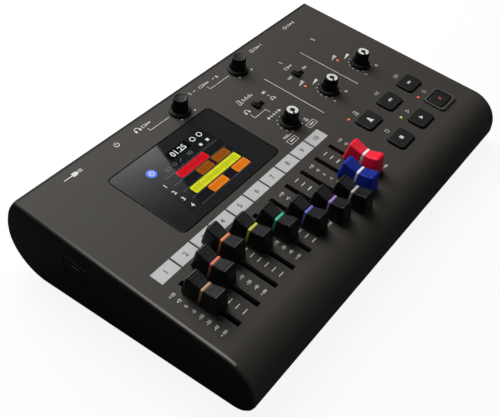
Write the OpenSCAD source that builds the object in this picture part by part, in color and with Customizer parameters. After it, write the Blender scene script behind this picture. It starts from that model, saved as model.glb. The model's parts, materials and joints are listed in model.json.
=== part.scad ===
// Digital multitrack recorder: a wedge-shaped desktop case with a fader bank, a display,
// rotary controls, transport keys and a rear bay of sockets.
// Millimetres, +X to the right, +Y to the rear, +Z up, origin under the middle of the case on the table.

/* [Housing] */
// Overall width of the case
body_w = 254; // [250:1:270]
// Overall depth of the case
body_d = 154; // [152:1:164]
// Slope of the control panel in degrees
panel_tilt = 7.4; // [7:0.1:8]
// Height of the panel over the underside of the case, at the fader row
panel_h = 34.6; // [34:0.1:37]
// Distance from the front of the case to the fader row
fader_row = 38.5; // [37.5:0.5:41]
// Thickness of the case walls
wall = 2.2; // [2:0.1:2.6]
// Radius of the roll from the panel down to the front
roll_r = 19; // [17:0.5:20]
// Radius from the front to the underside
chin_r = 11; // [9:0.5:12]
// Radius of the rear cheeks above their widest point
rear_top_r = 37; // [35:0.5:39]
// Radius of the rear cheeks below their widest point
rear_low_r = 23; // [21:0.5:24]
// Rounding along the side edges
edge_r = 2.4; // [1.5:0.1:3]

/* [Faders] */
// Distance between neighbouring faders
fader_pitch = 14; // [13:0.1:14.4]
// Middle of the fader bank, from the middle of the case
bank_x = -45.5; // [-48:0.5:-43]
// Travel of a fader
fader_travel = 30; // [26:1:32]
// Length of a fader cap at its foot
cap_l = 21.6; // [20:0.1:22]
// Length of a fader cap over its upper edges
cap_top_l = 18.4; // [17.8:0.1:19]
// Width of a fader cap at its foot
cap_w = 9; // [8.2:0.1:9.4]
// Width of a fader cap at its crests
cap_top_w = 7.7; // [7:0.1:8]
// Distance between the two crests
crest_span = 16; // [15:0.1:17]
// Cut at the upright corners of a fader cap
cap_cut = 1.5; // [0.8:0.1:2]
// Height of the cap's crests over the panel
cap_h = 11.7; // [10.5:0.1:13]
// Depth of the finger dish between the crests
cap_dish = 2; // [1:0.1:3]
// Ribs on each wing of the dish
rib_count = 8; // [4:1:9]
// Height of a rib
rib_h = 0.3; // [0.2:0.05:0.4]
// Width of the coloured insert along the travel
stripe_w = 1.9; // [1.4:0.1:2.6]
// Thickness of the coloured insert
stripe_t = 0.9; // [0.6:0.1:1.2]
// Thickness of the lever
lever_t = 1.2; // [1:0.1:1.6]
// Length of the lever along the travel
lever_l = 3.6; // [3:0.1:4.4]

/* [Knobs] */
// Diameter of the skirt
skirt_d = 12.8; // [11:0.1:14]
// Diameter of the grip above the skirt
grip_d = 9.8; // [9:0.1:10.6]
// Diameter of the grip at the top
grip_top_d = 7.9; // [7.2:0.1:8.6]
// Height of a knob over the panel
knob_h = 9.6; // [9.2:0.1:12]
// Diameter of the shaft
shaft_d = 5; // [4:0.1:6]
// Flutes around the grip
flute_count = 18; // [12:1:24]
// Distance from the rear panel to the row of the phones and output knobs, along the panel
knob_row_gap = 8.2; // [8.2:0.05:9.6]
// Phones knob, from the middle of the case
phones_knob_x = -19; // [-24:0.5:-16]
// Output knob, from the middle of the case
output_knob_x = 34; // [26:0.5:35]
// Distance from the switch row to the row of the balance and gain knobs
gain_drop = 21.4; // [20.5:0.1:24]
// Balance knob, from the middle of the case
balance_knob_x = 17.4; // [13:0.1:19]
// First gain knob, from the middle of the case
gain_1_x = 58.6; // [54:0.1:60]
// Second gain knob, from the middle of the case
gain_2_x = 94.9; // [91:0.1:97]

/* [Keys] */
// Width of a key
key_w = 14.7; // [12:0.1:16]
// Depth of a key
key_d = 10.6; // [9:0.1:12]
// Height of a key over the panel
key_h = 1.2; // [0.8:0.1:1.8]
// Corner radius of a key
key_r = 2.2; // [1.5:0.1:3]
// Travel of a key
key_travel = 0.6; // [0.4:0.1:0.6]
// First key column, from the middle of the case
key_x = 52; // [49:0.5:54]
// Distance between key columns
key_pitch_x = 24.3; // [22:0.1:25]
// Front key row, from the fader row along the panel
key_y = -9.9; // [-11:0.1:-8]
// Distance between key rows
key_pitch_y = 21.4; // [19:0.1:23]
// Width of the raised frame round the record key
frame_w = 1.5; // [1:0.1:2]
// Height of that frame over the panel
frame_h = 1.1; // [0.6:0.1:1.6]
// Corner radius of that frame
frame_r = 2.8; // [2.4:0.1:4]

/* [Display] */
// Width of the window
window_w = 80.2; // [74:0.1:82]
// Front edge of the window, from the fader row along the panel
window_front = 34; // [33:0.1:36]
// Space between the window and the skirts of the rear knobs
window_space = 2.45; // [1.6:0.05:3.5]
// Corner radius of the window
window_r = 3; // [2:0.1:5]
// Thickness of the window
window_t = 1.4; // [1:0.1:1.5]
// Width of the picture
view_w = 50; // [46:0.5:54]
// How much less deep the picture is than the window
view_border = 13.6; // [11:0.1:17]

/* [Switches and lamps] */
// Distance from the rear knobs to the row of the panel's slide switches
switch_drop = 28.45; // [27.6:0.05:29]
// Input switch, from the middle of the case
input_switch_x = 58.5; // [54:0.5:62]
// Monitor switch, from the middle of the case
monitor_switch_x = 17.4; // [14:0.1:21]
// Travel of a slide switch
switch_travel = 4; // [3:0.1:4.5]
// Width of a switch tab
tab_w = 3.2; // [2.6:0.1:3.6]
// Diameter of a lamp's lens
lamp_d = 2; // [1.6:0.1:2.4]

/* [Rear bay] */
// Width of the recessed bay
bay_w = 224; // [220:1:230]
// Height of the bay's floor over the underside of the case
bay_floor = 6.5; // [6:0.1:7]
// Height of the bay's roof over the underside of the case
bay_roof = 44; // [42.5:0.1:44.2]
// Depth of the bay behind the widest point of the rear
bay_depth = 12.5; // [11.5:0.1:13]
// Thickness of the rear panel
panel_t = 2.2; // [1.8:0.1:2.6]
// Height of the sockets' axes over the underside of the case
socket_z = 24.5; // [24.3:0.1:25]
// Bore of the jack sockets
jack_bore_d = 6.5; // [6.4:0.02:6.6]
// Depth of a jack socket behind the rear panel
jack_depth = 28; // [26:0.5:29]
// Phones jack, from the middle of the case
phones_jack_x = -42.5; // [-44:0.5:-38]
// Left output jack, from the middle of the case
left_jack_x = -6; // [-10:0.5:-4]
// Distance between the output jacks
jack_pitch = 25; // [22:0.5:27]
// First combo input, from the middle of the case
input_1_x = 59.2; // [58.5:0.1:62]
// Second combo input, from the middle of the case
input_2_x = 93.9; // [92:0.1:94.5]
// Width and height of a combo socket
combo_w = 26; // [25.4:0.1:26.4]
// Supply socket, from the middle of the case
supply_x = -91.7; // [-96:0.1:-88]
// Power switch, from the middle of the case
power_x = -62.6; // [-68:0.1:-60]

/* [Base] */
// Margin between the side of the case and the base plate
base_margin = 8; // [7:0.5:10]
// Width of the ledge that the base plate bears on
base_ledge = 2.5; // [2:0.1:4]
// Diameter of a rubber foot
foot_d = 14; // [10:0.5:16]
// Height of a foot under the case
foot_h = 1.2; // [0.8:0.1:2]

/* [Battery bay] */
// Diameter of a cell
cell_d = 14.5; // [14:0.1:14.8]
// Length of a cell
cell_l = 50.5; // [48:0.1:51]
// Thickness of the battery door
door_t = 2; // [1.8:0.1:2]
// Radius of the door's hinge barrel
barrel_r = 3; // [2.6:0.1:3.4]

/* [Card slot] */
// Length of the card door along the panel
card_door_l = 14.8; // [14:0.1:18]
// Height of the card door
card_door_h = 11.3; // [10.6:0.1:12]
// Thickness of the card door
card_door_t = 1.1; // [0.9:0.1:1.2]
// Distance from the rear knob row to the middle of the card door
card_drop = 28.35; // [27:0.05:33]
// Middle of the card door, under the panel
card_z = 16.4; // [16.2:0.1:16.6]

/* [Clearances] */
// Gap beside pieces that slide or swing
slide_gap = 0.35; // [0.3:0.05:0.4]
// Radial gap of a shaft or pin in its bore
run_gap = 0.05; // [0.02:0.01:0.08]
// Gap round fixed pieces in their recesses
seat_gap = 0.2; // [0.1:0.05:0.3]

/* [Hidden] */
$fn = 48;
arc_step = 6;

// Colours of the pieces
case_grey = [0.27, 0.265, 0.25];
base_black = [0.08, 0.08, 0.08];
cap_black = [0.06, 0.06, 0.065];
board_green = [0.10, 0.30, 0.16];
steel = [0.72, 0.72, 0.70];
cap_colours = [for (k = [1:10]) k == 9 ? [0.10, 0.16, 0.50] : k == 10 ? [0.82, 0.12, 0.16] : cap_black];
stripe_colours = [
    "peru", "salmon", "darkorange", "gold", "turquoise",
    "mediumslateblue", "plum", "lightgrey", "white", "white"
];

// Places of the case in the frame
front = -body_d / 2;
rear = body_d / 2;
row_y = front + fader_row;
fader_count = 10;
// Where each fader stands, from -1 at the front end of its travel to 1 at the rear end
fader_setting = [0.2, 0.6, 0.95, 0.57, 0.2, -0.33, -0.66, -0.97, -0.63, -0.3];

// Rows of the panel, set forward from the rear panel
bay_y = rear - bay_depth;
panel_room = (bay_y - panel_t - row_y) / cos(panel_tilt);
rear_knob_y = panel_room - knob_row_gap;
switch_y = rear_knob_y - switch_drop;
gain_knob_y = switch_y - gain_drop;
card_y = rear_knob_y - card_drop;
window_rear = rear_knob_y - skirt_d / 2 - window_space;
window_d = window_rear - window_front;
window_y = (window_rear + window_front) / 2;
view_d = window_d - view_border;

// Levels under the panel, measured along its normal
board_gap = 8;
board_t = 1.6;
board_top = -wall - board_gap;
board_low = board_top - board_t;
body_top = -wall - 1.2;

// Sizes that follow from the driving ones
slot_l = fader_travel + lever_l + 2 * slide_gap;
slot_w = lever_t + 1.8;
fader_end = 5;
fader_body_w = 9;
cap_lift = 1.2;
cap_crest = crest_span / 2;
cap_lip = 0.6;
wing_curve = 1.3;
cap_valley = cap_h - cap_dish;
skirt_h = 1.8;
skirt_dish = 0.5;
knob_lift = 0.5;
ledge_h = 2;
base_w = body_w - 2 * base_margin;
base_front = front + chin_r + 1.5;
base_rear = rear - rear_low_r - 1.5;
bulkhead_t = 2;
bulkhead_y = bay_y - panel_t - bulkhead_t;
bay_step = 3;
main_top = socket_z - combo_w / 2;
main_low = main_top - board_t;
right_jack_x = left_jack_x + jack_pitch;
jack_w = 15;
jack_rise = 7;
bush_d = 9;
bush_out = 3;
combo_depth = 26;
collar_r = 11.7;
supply_w = 9;
supply_h = 3.3;
supply_depth = 7.4;
power_z = main_top + 7;
picture_shift = [-1.2, -0.9];
lcd_t = 3.2;

// Moving pieces: how far they reach under the panel
lever_low = body_top - 3.5;
shaft_low = board_top + 1.8;
shaft_top = knob_h - 2.3;
key_flange_top = -wall - 0.3;
key_flange_t = 1;
key_post_low = key_flange_top - key_flange_t - 1.5;
key_switch_top = key_post_low - key_travel - 0.3;
tab_d = 2.6;
tab_h = 1.8;
tab_foot = 2;
tab_plate_low = 0.4;
tab_plate_top = 1.3;
tab_plate_front = 0.7;
tab_plate_rear = 2.6;
tab_rise = tab_h - body_top;
tab_slot = tab_w + switch_travel + 2 * slide_gap;

// Card door and the socket behind it
card_pin_r = 0.35;
card_pin_l = 1.2;
card_pin_z = -card_door_h / 2 + card_door_t / 2;
card_pin_reach = card_door_l / 2 + slide_gap + card_pin_l;
card_socket_h = 1.9;
card_socket_l = 15;
card_socket_w = 14;
nail_w = 5.2;
nail_low = 3.6;
nail_top = 1.6;
nail_t = 0.5;
card_slot_z = board_low - card_socket_h / 2;
card_w = 11.4;

// Battery bay: two rows of two cells, with the hinge pocket in front of them
cell_room_l = 2 * cell_l + 3.5;
cell_room_w = 2 * cell_d + 1.4;
cell_room_h = cell_d + 0.5;
bay_wall = 1.5;
bay_side = 3;
hinge_y = row_y - 4.5;
cell_y = hinge_y + barrel_r + slide_gap;
door_rear = cell_y + cell_room_w;
door_half = cell_room_l / 2 + bay_side / 2;
// The door's wings start behind the barrel; in front of them is room for their upper edge as it swings
wing_y = cell_y + 5;
wing_reach = wing_y - hinge_y;
wing_room = wing_reach - sqrt(wing_reach * wing_reach - door_t * (2 * barrel_r - door_t)) + slide_gap;
pin_r = 1.2;
pin_l = 1.6;
leaf_t = 0.4;
leaf_w = 9;
leaf_h = 10;
bump_w = 5;
bump_h = 7;
bump_t = 1.1;

// Key, lamp, knob and switch places in panel coordinates
function key_place(column, row) = [key_x + column * key_pitch_x, key_y + row * key_pitch_y];
key_click_at = key_place(0, 1);
key_rewind_at = key_place(1, 1);
key_forward_at = key_place(2, 1);
key_stop_at = key_place(0, 0);
key_play_at = key_place(1, 0);
key_record_at = key_place(2, 0);
key_places = [key_click_at, key_rewind_at, key_forward_at, key_stop_at, key_play_at, key_record_at];
lamp_offset = [-7.7, 9];
peak_offset = [-7.2, 12];
lamp_places = [
    key_click_at + lamp_offset,
    key_play_at + lamp_offset,
    key_record_at + lamp_offset + [0, frame_w],
    [gain_1_x, gain_knob_y] + peak_offset,
    [gain_2_x, gain_knob_y] + peak_offset
];
knob_places = [
    [phones_knob_x, rear_knob_y], [output_knob_x, rear_knob_y],
    [balance_knob_x, gain_knob_y], [gain_1_x, gain_knob_y], [gain_2_x, gain_knob_y]
];
switch_places = [[input_switch_x, switch_y], [monitor_switch_x, switch_y]];
jack_places = [phones_jack_x, left_jack_x, right_jack_x];
input_places = [input_1_x, input_2_x];
function fader_x(k) = bank_x + (k - (fader_count + 1) / 2) * fader_pitch;
function fader_y(k) = fader_setting[k - 1] * fader_travel / 2;

// Fastening places: posts under the panel, screws through the base plate, posts under the main board
board_half = body_w / 2 - wall - 4;
board_edge = 4.85;
board_front = -slot_l / 2 - fader_end - board_edge;
board_rear = switch_y + 7;
tongue_left = bank_x - window_w / 2 - 16.9;
tongue_right = output_knob_x + 10;
tongue_rear = rear_knob_y + 4.15;
post_d = 6;
post_front_y = board_front + 5;
post_mid_y = 31;
post_places = [
    [-board_half + 3.5, post_front_y], [output_knob_x, post_front_y], [board_half - 3.5, post_front_y],
    [fader_x(1) + 6, post_mid_y], [(gain_1_x + gain_2_x) / 2, post_mid_y], [board_half - 3.5, post_mid_y],
    [tongue_left + 5, rear_knob_y - 1], [output_knob_x + 5, board_rear - 2.5],
    [board_half - 3.5, board_rear - 6]
];
boss_d = 7;
boss_top = 12;
base_screw_places = [
    for (side = [-1, 1])
        for (y = [base_front + 5, row_y + 32, base_rear - 5])
            [side * (base_w / 2 - 5), y]
];
main_half = bay_w / 2 - 2 * bay_step;
main_front = bay_y - panel_t - jack_depth - 4;
main_rear = bay_y - panel_t - 0.3;
main_post_x = (input_1_x + input_2_x) / 2;
main_post_rear = base_rear - base_ledge - post_d / 2 - seat_gap;
main_post_places = [
    for (side = [-1, 1])
        for (y = [main_front + 4, main_post_rear])
            [side * main_post_x, y]
];
foot_places = [
    for (side = [-1, 1])
        for (y = [base_front + foot_d / 2 + 9, base_rear - foot_d / 2 - 7])
            [side * (base_w / 2 - foot_d / 2 - 9), y]
];
screw_r = 1.25;
screw_hole_r = screw_r + run_gap;
screw_head_r = 2.4;
screw_head_h = 1.5;

// Points of a circular arc from one angle to another
function arc(centre, r, from, to) =
    let (n = ceil(abs(to - from) / arc_step))
    [for (i = [0:n]) centre + r * [cos(from + (to - from) * i / n), sin(from + (to - from) * i / n)]];

// Points of a rectangle with rounded corners, about its middle
function rounded(w, d, r, n = 5) = [
    for (corner = [0:3])
        for (i = [0:n])
            let (
                a = 90 * corner + 90 * i / n,
                sx = corner == 0 || corner == 3 ? 1 : -1,
                sy = corner < 2 ? 1 : -1
            )
            [sx * (w / 2 - r) + r * cos(a), sy * (d / 2 - r) + r * sin(a)]
];

// Side view of the case in Y and Z, drawn inside its outer face by the given inset:
// underside, rear cheek, sloping panel, front roll and chin
function panel_z(y) = panel_h + (y - row_y) * tan(panel_tilt);
function side_outline(inset) =
    let (
        roll_y = front + roll_r,
        roll = [roll_y, panel_z(roll_y) - roll_r / cos(panel_tilt)],
        chin = [front + chin_r, chin_r],
        low = [rear - rear_low_r, rear_low_r],
        top = [rear - rear_top_r, rear_low_r],
        drop = (panel_z(top[0]) - top[1]) * cos(panel_tilt) - inset,
        corner = panel_tilt + asin(drop / (rear_top_r - inset))
    )
    concat(
        arc(chin, chin_r - inset, 180, 270),
        arc(low, rear_low_r - inset, 270, 360),
        arc(top, rear_top_r - inset, 0, corner),
        arc(roll, roll_r - inset, 90 + panel_tilt, 180)
    );

// Frames of reference: the case over its feet, and the sloping panel with its origin on the fader row
module in_case() {
    translate([0, 0, foot_h]) children();
}

module on_panel() {
    translate([0, row_y, panel_h + foot_h]) rotate([panel_tilt, 0, 0]) children();
}

// A plate of the given outline in X and Y between two heights
module plate(points, low, high) {
    translate([0, 0, low]) linear_extrude(high - low) polygon(points);
}

// A plate of the given outline in X and Z between two depths
module wall_plate(points, near, far) {
    translate([0, far, 0]) rotate([90, 0, 0]) linear_extrude(far - near) polygon(points);
}

// A bar of the given outline in Y and Z, centred on X
module bar(points, w) {
    rotate([90, 0, 90]) linear_extrude(w, center = true) polygon(points);
}

// A round hole or pin along Y, from one depth to another
module along_y(r, near, far) {
    translate([0, near, 0]) rotate([-90, 0, 0]) cylinder(r = r, h = far - near);
}

// A block by its lowest and highest corners
module block(low, high) {
    translate(low) cube(high - low);
}

// Skin of rings of equal point count, closed at both ends
module loft(rings) {
    n = len(rings[0]);
    last = len(rings) - 1;
    points = [for (ring = rings) for (p = ring) p];
    sides = [
        for (j = [0:last - 1])
            for (i = [0:n - 1])
                let (a = j * n + i, b = j * n + (i + 1) % n)
                each [[a, a + n, b], [b, a + n, b + n]]
    ];
    low = [[for (i = [0:n - 1]) i]];
    high = [[for (i = [0:n - 1]) last * n + n - 1 - i]];
    polyhedron(points, concat(sides, low, high));
}

// Case shell: the side view carried across the width, with rounded side edges
module case_solid() {
    hull() {
        for (a = [0:30:90]) {
            bar(side_outline(edge_r * (1 - cos(a))), body_w - 2 * edge_r * (1 - sin(a)));
        }
    }
}

module case_room() {
    intersection() {
        bar(side_outline(wall), body_w - 2 * wall);
        block([-body_w, front, wall + ledge_h], [body_w, bulkhead_y, 2 * panel_h]);
    }
}

module base_cut() {
    base_half = base_w / 2;
    block([-base_half, base_front, -1], [base_half, base_rear, wall]);
    block(
        [base_ledge - base_half, base_front + base_ledge, -1],
        [base_half - base_ledge, base_rear - base_ledge, wall + ledge_h + 1]
    );
}

module bay_cut() {
    middle = (bay_floor + bay_roof) / 2;
    bay_h = bay_roof - bay_floor;
    translate([0, 0, middle]) {
        wall_plate(rounded(bay_w, bay_h, bay_step), bay_y - panel_t, rear + 1);
        wall_plate(
            rounded(bay_w - 2 * bay_step, bay_h - 2 * bay_step, bay_step),
            bulkhead_y - 1, bay_y
        );
    }
}

module panel_cuts() {
    for (k = [1:fader_count]) {
        translate([fader_x(k), 0, -wall - 1]) {
            linear_extrude(wall + 2) square([slot_w, slot_l], center = true);
        }
    }
    for (p = knob_places) {
        translate([p[0], p[1], -wall - 1]) cylinder(r = shaft_d / 2 + 0.6, h = wall + 2);
    }
    for (p = lamp_places) {
        translate([p[0], p[1], -wall - 1]) cylinder(r = lamp_d / 2 + seat_gap / 2, h = wall + 2);
    }
    for (p = key_places) {
        translate([p[0], p[1], 0]) {
            plate(rounded(key_w + 2 * slide_gap, key_d + 2 * slide_gap, key_r + slide_gap), -wall - 1, 3);
        }
    }
    for (p = switch_places) {
        translate([p[0], p[1], -wall - 1]) {
            linear_extrude(wall + 2) square([tab_slot, tab_d + 2 * slide_gap], center = true);
        }
    }
    translate([bank_x, window_y, 0]) {
        grow = 2 * slide_gap;
        plate(rounded(window_w + grow, window_d + grow, window_r + slide_gap), -window_t, 1);
        translate(picture_shift) plate(rounded(view_w + 2, view_d + 2, 1), -wall - 1, 1);
    }
}

module card_cut() {
    door_room_l = card_door_l + 2 * slide_gap;
    door_room_h = card_door_h + 2 * slide_gap;
    pocket = card_door_t + slide_gap;
    translate([-body_w / 2, card_y, -card_z]) {
        block([-1, -door_room_l / 2, -door_room_h / 2], [pocket, door_room_l / 2, door_room_h / 2]);
        translate([card_door_t / 2, 0, card_pin_z]) {
            along_y(card_pin_r + run_gap, -card_pin_reach, card_pin_reach);
        }
    }
    translate([-body_w / 2, card_y, card_slot_z]) {
        block([0, -card_w / 2 - 0.5, -1], [wall + 1, card_w / 2 + 0.5, 1]);
    }
}

module top_case() color(case_grey) difference() {
    union() {
        in_case() difference() {
            case_solid();
            case_room();
        }
        in_case() for (p = base_screw_places) {
            translate([p[0], p[1], wall]) cylinder(d = boss_d, h = boss_top - wall);
        }
        on_panel() for (p = post_places) {
            translate([p[0], p[1], board_top]) cylinder(d = post_d, h = board_gap + wall / 2);
        }
        on_panel() translate([key_record_at[0], key_record_at[1], 0]) {
            grow = 2 * slide_gap + 2 * frame_w;
            plate(rounded(key_w + grow, key_d + grow, frame_r), -wall / 2, frame_h);
        }
    }
    in_case() base_cut();
    in_case() bay_cut();
    on_panel() panel_cuts();
    on_panel() card_cut();
    in_case() for (p = base_screw_places) {
        translate([p[0], p[1], 0]) cylinder(r = screw_hole_r, h = boss_top - 1);
    }
    on_panel() for (p = post_places) {
        translate([p[0], p[1], board_top - 1]) cylinder(r = screw_hole_r, h = board_gap);
    }
}

// Base plate with the battery bay, the posts of the main board and the seats of the feet
module bottom_case() color(base_black) in_case() difference() {
    plate_half = base_w / 2 - seat_gap;
    room_half = cell_room_l / 2;
    room_top = wall + cell_room_h;
    union() {
        block([-plate_half, base_front + seat_gap, 0], [plate_half, base_rear - seat_gap, wall]);
        block(
            [-room_half - bay_side, hinge_y - barrel_r - slide_gap - bay_wall, 0],
            [room_half + bay_side, door_rear + bay_wall, room_top + bay_wall]
        );
        for (p = main_post_places) {
            translate([p[0], p[1], 0]) cylinder(d = post_d, h = main_low);
        }
    }
    block([-room_half, cell_y, -1], [room_half, door_rear, room_top]);
    block(
        [-door_half - slide_gap, wing_y - wing_room, -1],
        [door_half + slide_gap, door_rear + slide_gap, door_t + seat_gap]
    );
    translate([-room_half, hinge_y, barrel_r]) rotate([0, 90, 0]) {
        cylinder(r = barrel_r + slide_gap, h = 2 * room_half);
    }
    block([-room_half, hinge_y - barrel_r - slide_gap, -1], [room_half, cell_y, barrel_r]);
    translate([-room_half - pin_l - slide_gap, hinge_y, barrel_r]) rotate([0, 90, 0]) {
        cylinder(r = pin_r + run_gap, h = 2 * (room_half + pin_l + slide_gap));
    }
    for (p = base_screw_places) {
        translate([p[0], p[1], -1]) cylinder(r = screw_r + 0.3, h = wall + 2);
        translate([p[0], p[1], -1]) cylinder(r = screw_head_r + 0.3, h = 1 + screw_head_h - wall / 4);
    }
    for (p = foot_places) {
        translate([p[0], p[1], -1]) cylinder(d = foot_d + seat_gap, h = 1 + wall / 3);
    }
    for (p = main_post_places) {
        translate([p[0], p[1], main_low - 5]) cylinder(r = screw_hole_r, h = 6);
    }
}

// Flat plate of the sockets, seated on the bulkhead inside the bay
module rear_panel() color(base_black) in_case() difference() {
    middle = (bay_floor + bay_roof) / 2;
    bay_h = bay_roof - bay_floor;
    translate([0, 0, middle]) {
        wall_plate(rounded(bay_w - 2 * seat_gap, bay_h - 2 * seat_gap, bay_step), bay_y - panel_t, bay_y);
    }
    for (x = jack_places) {
        translate([x, 0, socket_z]) along_y(bush_d / 2 + seat_gap, bay_y - panel_t - 1, bay_y + 1);
    }
    for (x = input_places) {
        translate([x, 0, socket_z]) along_y(collar_r + seat_gap, bay_y - panel_t - 1, bay_y + 1);
    }
    translate([supply_x, 0, main_top + supply_h / 2]) {
        grow = 2 * seat_gap;
        wall_plate(
            rounded(supply_w + grow, supply_h + grow, supply_h / 2 + seat_gap - 0.01),
            bay_y - panel_t - 1, bay_y + 1
        );
    }
    translate([power_x, 0, power_z]) {
        wall_plate(rounded(tab_slot, tab_d + 2 * slide_gap, 0.4), bay_y - panel_t - 1, bay_y + 1);
    }
}

module display_window() color([0.1, 0.1, 0.11]) on_panel() translate([bank_x, window_y, 0]) {
    plate(rounded(window_w, window_d, window_r), -window_t, 0);
}

module lcd_module() color([0.16, 0.17, 0.19]) on_panel() translate([bank_x, window_y, 0]) {
    translate(picture_shift) plate(rounded(view_w + 12, view_d + 9, 1), -wall - lcd_t, -wall);
}

module panel_board() color(board_green) on_panel() difference() {
    outline = [
        [-board_half, board_front], [board_half, board_front], [board_half, board_rear],
        [tongue_right, board_rear], [tongue_right, tongue_rear],
        [tongue_left, tongue_rear], [tongue_left, board_rear], [-board_half, board_rear]
    ];
    plate(outline, board_low, board_top);
    for (p = post_places) {
        translate([p[0], p[1], board_low - 1]) cylinder(r = screw_r + 0.2, h = board_t + 2);
    }
}

module main_board() color(board_green) in_case() difference() {
    block([-main_half, main_front, main_low], [main_half, main_rear, main_top]);
    for (p = main_post_places) {
        translate([p[0], p[1], main_low - 1]) cylinder(r = screw_r + 0.2, h = board_t + 2);
    }
}

// Slide potentiometers: a box with the channel that its lever runs in
module fader_bodies() color(steel) on_panel() for (k = [1:fader_count]) {
    translate([fader_x(k), 0, 0]) difference() {
        block(
            [-fader_body_w / 2, -slot_l / 2 - fader_end, board_top],
            [fader_body_w / 2, slot_l / 2 + fader_end, body_top]
        );
        block([-slot_w / 2, -slot_l / 2, lever_low - 0.5], [slot_w / 2, slot_l / 2, body_top + 1]);
    }
}

// Rotary potentiometers: a box with a bush that the shaft turns in
module pot_bodies() color(steel) on_panel() for (p = knob_places) {
    translate([p[0], p[1], 0]) difference() {
        union() {
            block([-4.8, -4.5, board_top], [4.8, 4.5, body_top - 0.4]);
            translate([0, 0, board_top]) cylinder(r = shaft_d / 2 + 1.2, h = -wall - 0.4 - board_top);
        }
        translate([0, 0, shaft_low - 0.3]) cylinder(r = shaft_d / 2 + run_gap, h = 20);
    }
}

module slide_switch_bodies() color(steel) {
    on_panel() for (p = switch_places) {
        translate([p[0], p[1], 0]) difference() {
            block([-tab_slot / 2 - 1.5, -2.6, board_top], [tab_slot / 2 + 1.5, 2.6, body_top]);
            tab_channel(body_top);
        }
    }
    in_case() translate([power_x, bay_y - panel_t, power_z]) rotate([-90, 0, 0]) difference() {
        block([-tab_slot / 2 - 1.5, -3.4, -6.8], [tab_slot / 2 + 1.5, power_z - main_top, 0]);
        tab_channel(0);
    }
}

// Channel of a slide switch, down from the given level
module tab_channel(level) {
    block(
        [-tab_slot / 2, -tab_d / 2 - slide_gap, level - tab_foot - slide_gap],
        [tab_slot / 2, tab_d / 2 + slide_gap, level + 1]
    );
}

module key_switches() color([0.2, 0.2, 0.2]) on_panel() for (p = key_places) {
    translate([p[0], p[1], 0]) {
        block([-3, -3, board_top], [3, 3, key_switch_top - 0.7]);
        translate([0, 0, key_switch_top - 0.7]) cylinder(r = 1.7, h = 0.7);
    }
}

// Lamps: a light pipe from the board up through the panel
module lamp_lenses() color([0.9, 0.3, 0.15]) on_panel() for (p = lamp_places) {
    translate([p[0], p[1], board_top]) {
        cylinder(r = lamp_d / 2 + 0.5, h = board_gap - 0.4);
        cylinder(r = lamp_d / 2, h = board_gap + wall + 0.3);
    }
}

// Jack sockets: a box on the main board and a bush through the rear panel, bored for the plug
module jack_sockets() color(cap_black) in_case() for (x = jack_places) {
    translate([x, bay_y - panel_t, socket_z]) difference() {
        union() {
            block([-jack_w / 2, -jack_depth, main_top - socket_z], [jack_w / 2, 0, jack_rise]);
            along_y(bush_d / 2, -1, panel_t + bush_out);
        }
        along_y(jack_bore_d / 2, 1.5 - jack_depth, panel_t + bush_out + 1);
    }
}

module jack_nuts() color(steel) in_case() for (x = jack_places) {
    translate([x, bay_y, socket_z]) rotate([-90, 0, 0]) difference() {
        cylinder(r = bush_d / 2 + 2.2, h = 2.2, $fn = 6);
        translate([0, 0, -1]) cylinder(r = bush_d / 2 + run_gap, h = 5);
    }
}

// Combo inputs: a ring groove and three contact holes for one kind of plug, a middle bore for the other
module input_sockets() color(cap_black) in_case() for (x = input_places) {
    translate([x, bay_y - panel_t, socket_z]) difference() {
        union() {
            block([-combo_w / 2, -combo_depth, -combo_w / 2], [combo_w / 2, 0, combo_w / 2]);
            along_y(collar_r, -1, panel_t + 0.6);
        }
        difference() {
            along_y(9.6, -8, panel_t + 2);
            along_y(7.7, -9, panel_t + 3);
        }
        along_y(jack_bore_d / 2, 1.5 - combo_depth, panel_t + 2);
        for (a = [90, 210, 330]) {
            translate([5.4 * cos(a), 0, 5.4 * sin(a)]) along_y(1.25, -8, panel_t + 2);
        }
    }
}

module supply_socket() color(steel) in_case() translate([supply_x, bay_y, main_top + supply_h / 2]) {
    difference() {
        wall_plate(rounded(supply_w, supply_h, supply_h / 2 - 0.01), -supply_depth, 0);
        wall_plate(rounded(supply_w - 0.6, supply_h - 0.6, supply_h / 2 - 0.31), 0.8 - supply_depth, 1);
    }
    wall_plate(rounded(supply_w - 2.4, 0.7, 0.3), 0.7 - supply_depth, -0.8);
}

module card_socket() color(steel) on_panel() translate([-body_w / 2 + wall + 0.4, card_y, card_slot_z]) {
    difference() {
        block(
            [0, -card_socket_w / 2, -card_socket_h / 2],
            [card_socket_l, card_socket_w / 2, card_socket_h / 2]
        );
        block([-1, -card_w / 2, -0.6], [card_socket_l - 1, card_w / 2, 0.6]);
    }
}

// Leaf contacts at the ends of the battery bay, bent towards the cells
module battery_contacts() color(steel) in_case() {
    for (side = [-1, 1]) {
        for (i = [0, 1]) {
            y = cell_y + cell_room_w * (1 + 2 * i) / 4;
            translate([side * cell_room_l / 2, y, wall + cell_room_h / 2]) {
                mirror([side > 0 ? 1 : 0, 0, 0]) {
                    block([0, -leaf_w / 2, -leaf_h / 2], [leaf_t, leaf_w / 2, leaf_h / 2]);
                    translate([leaf_t, 0, 0]) rotate([90, 0, 0]) linear_extrude(bump_w, center = true) {
                        polygon([[0, -bump_h / 2], [bump_t, 0], [0, bump_h / 2]]);
                    }
                }
            }
        }
    }
}

module feet() color([0.12, 0.12, 0.12]) for (p = foot_places) {
    translate([p[0], p[1], 0]) cylinder(d = foot_d, h = foot_h + wall / 3);
}

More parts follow.
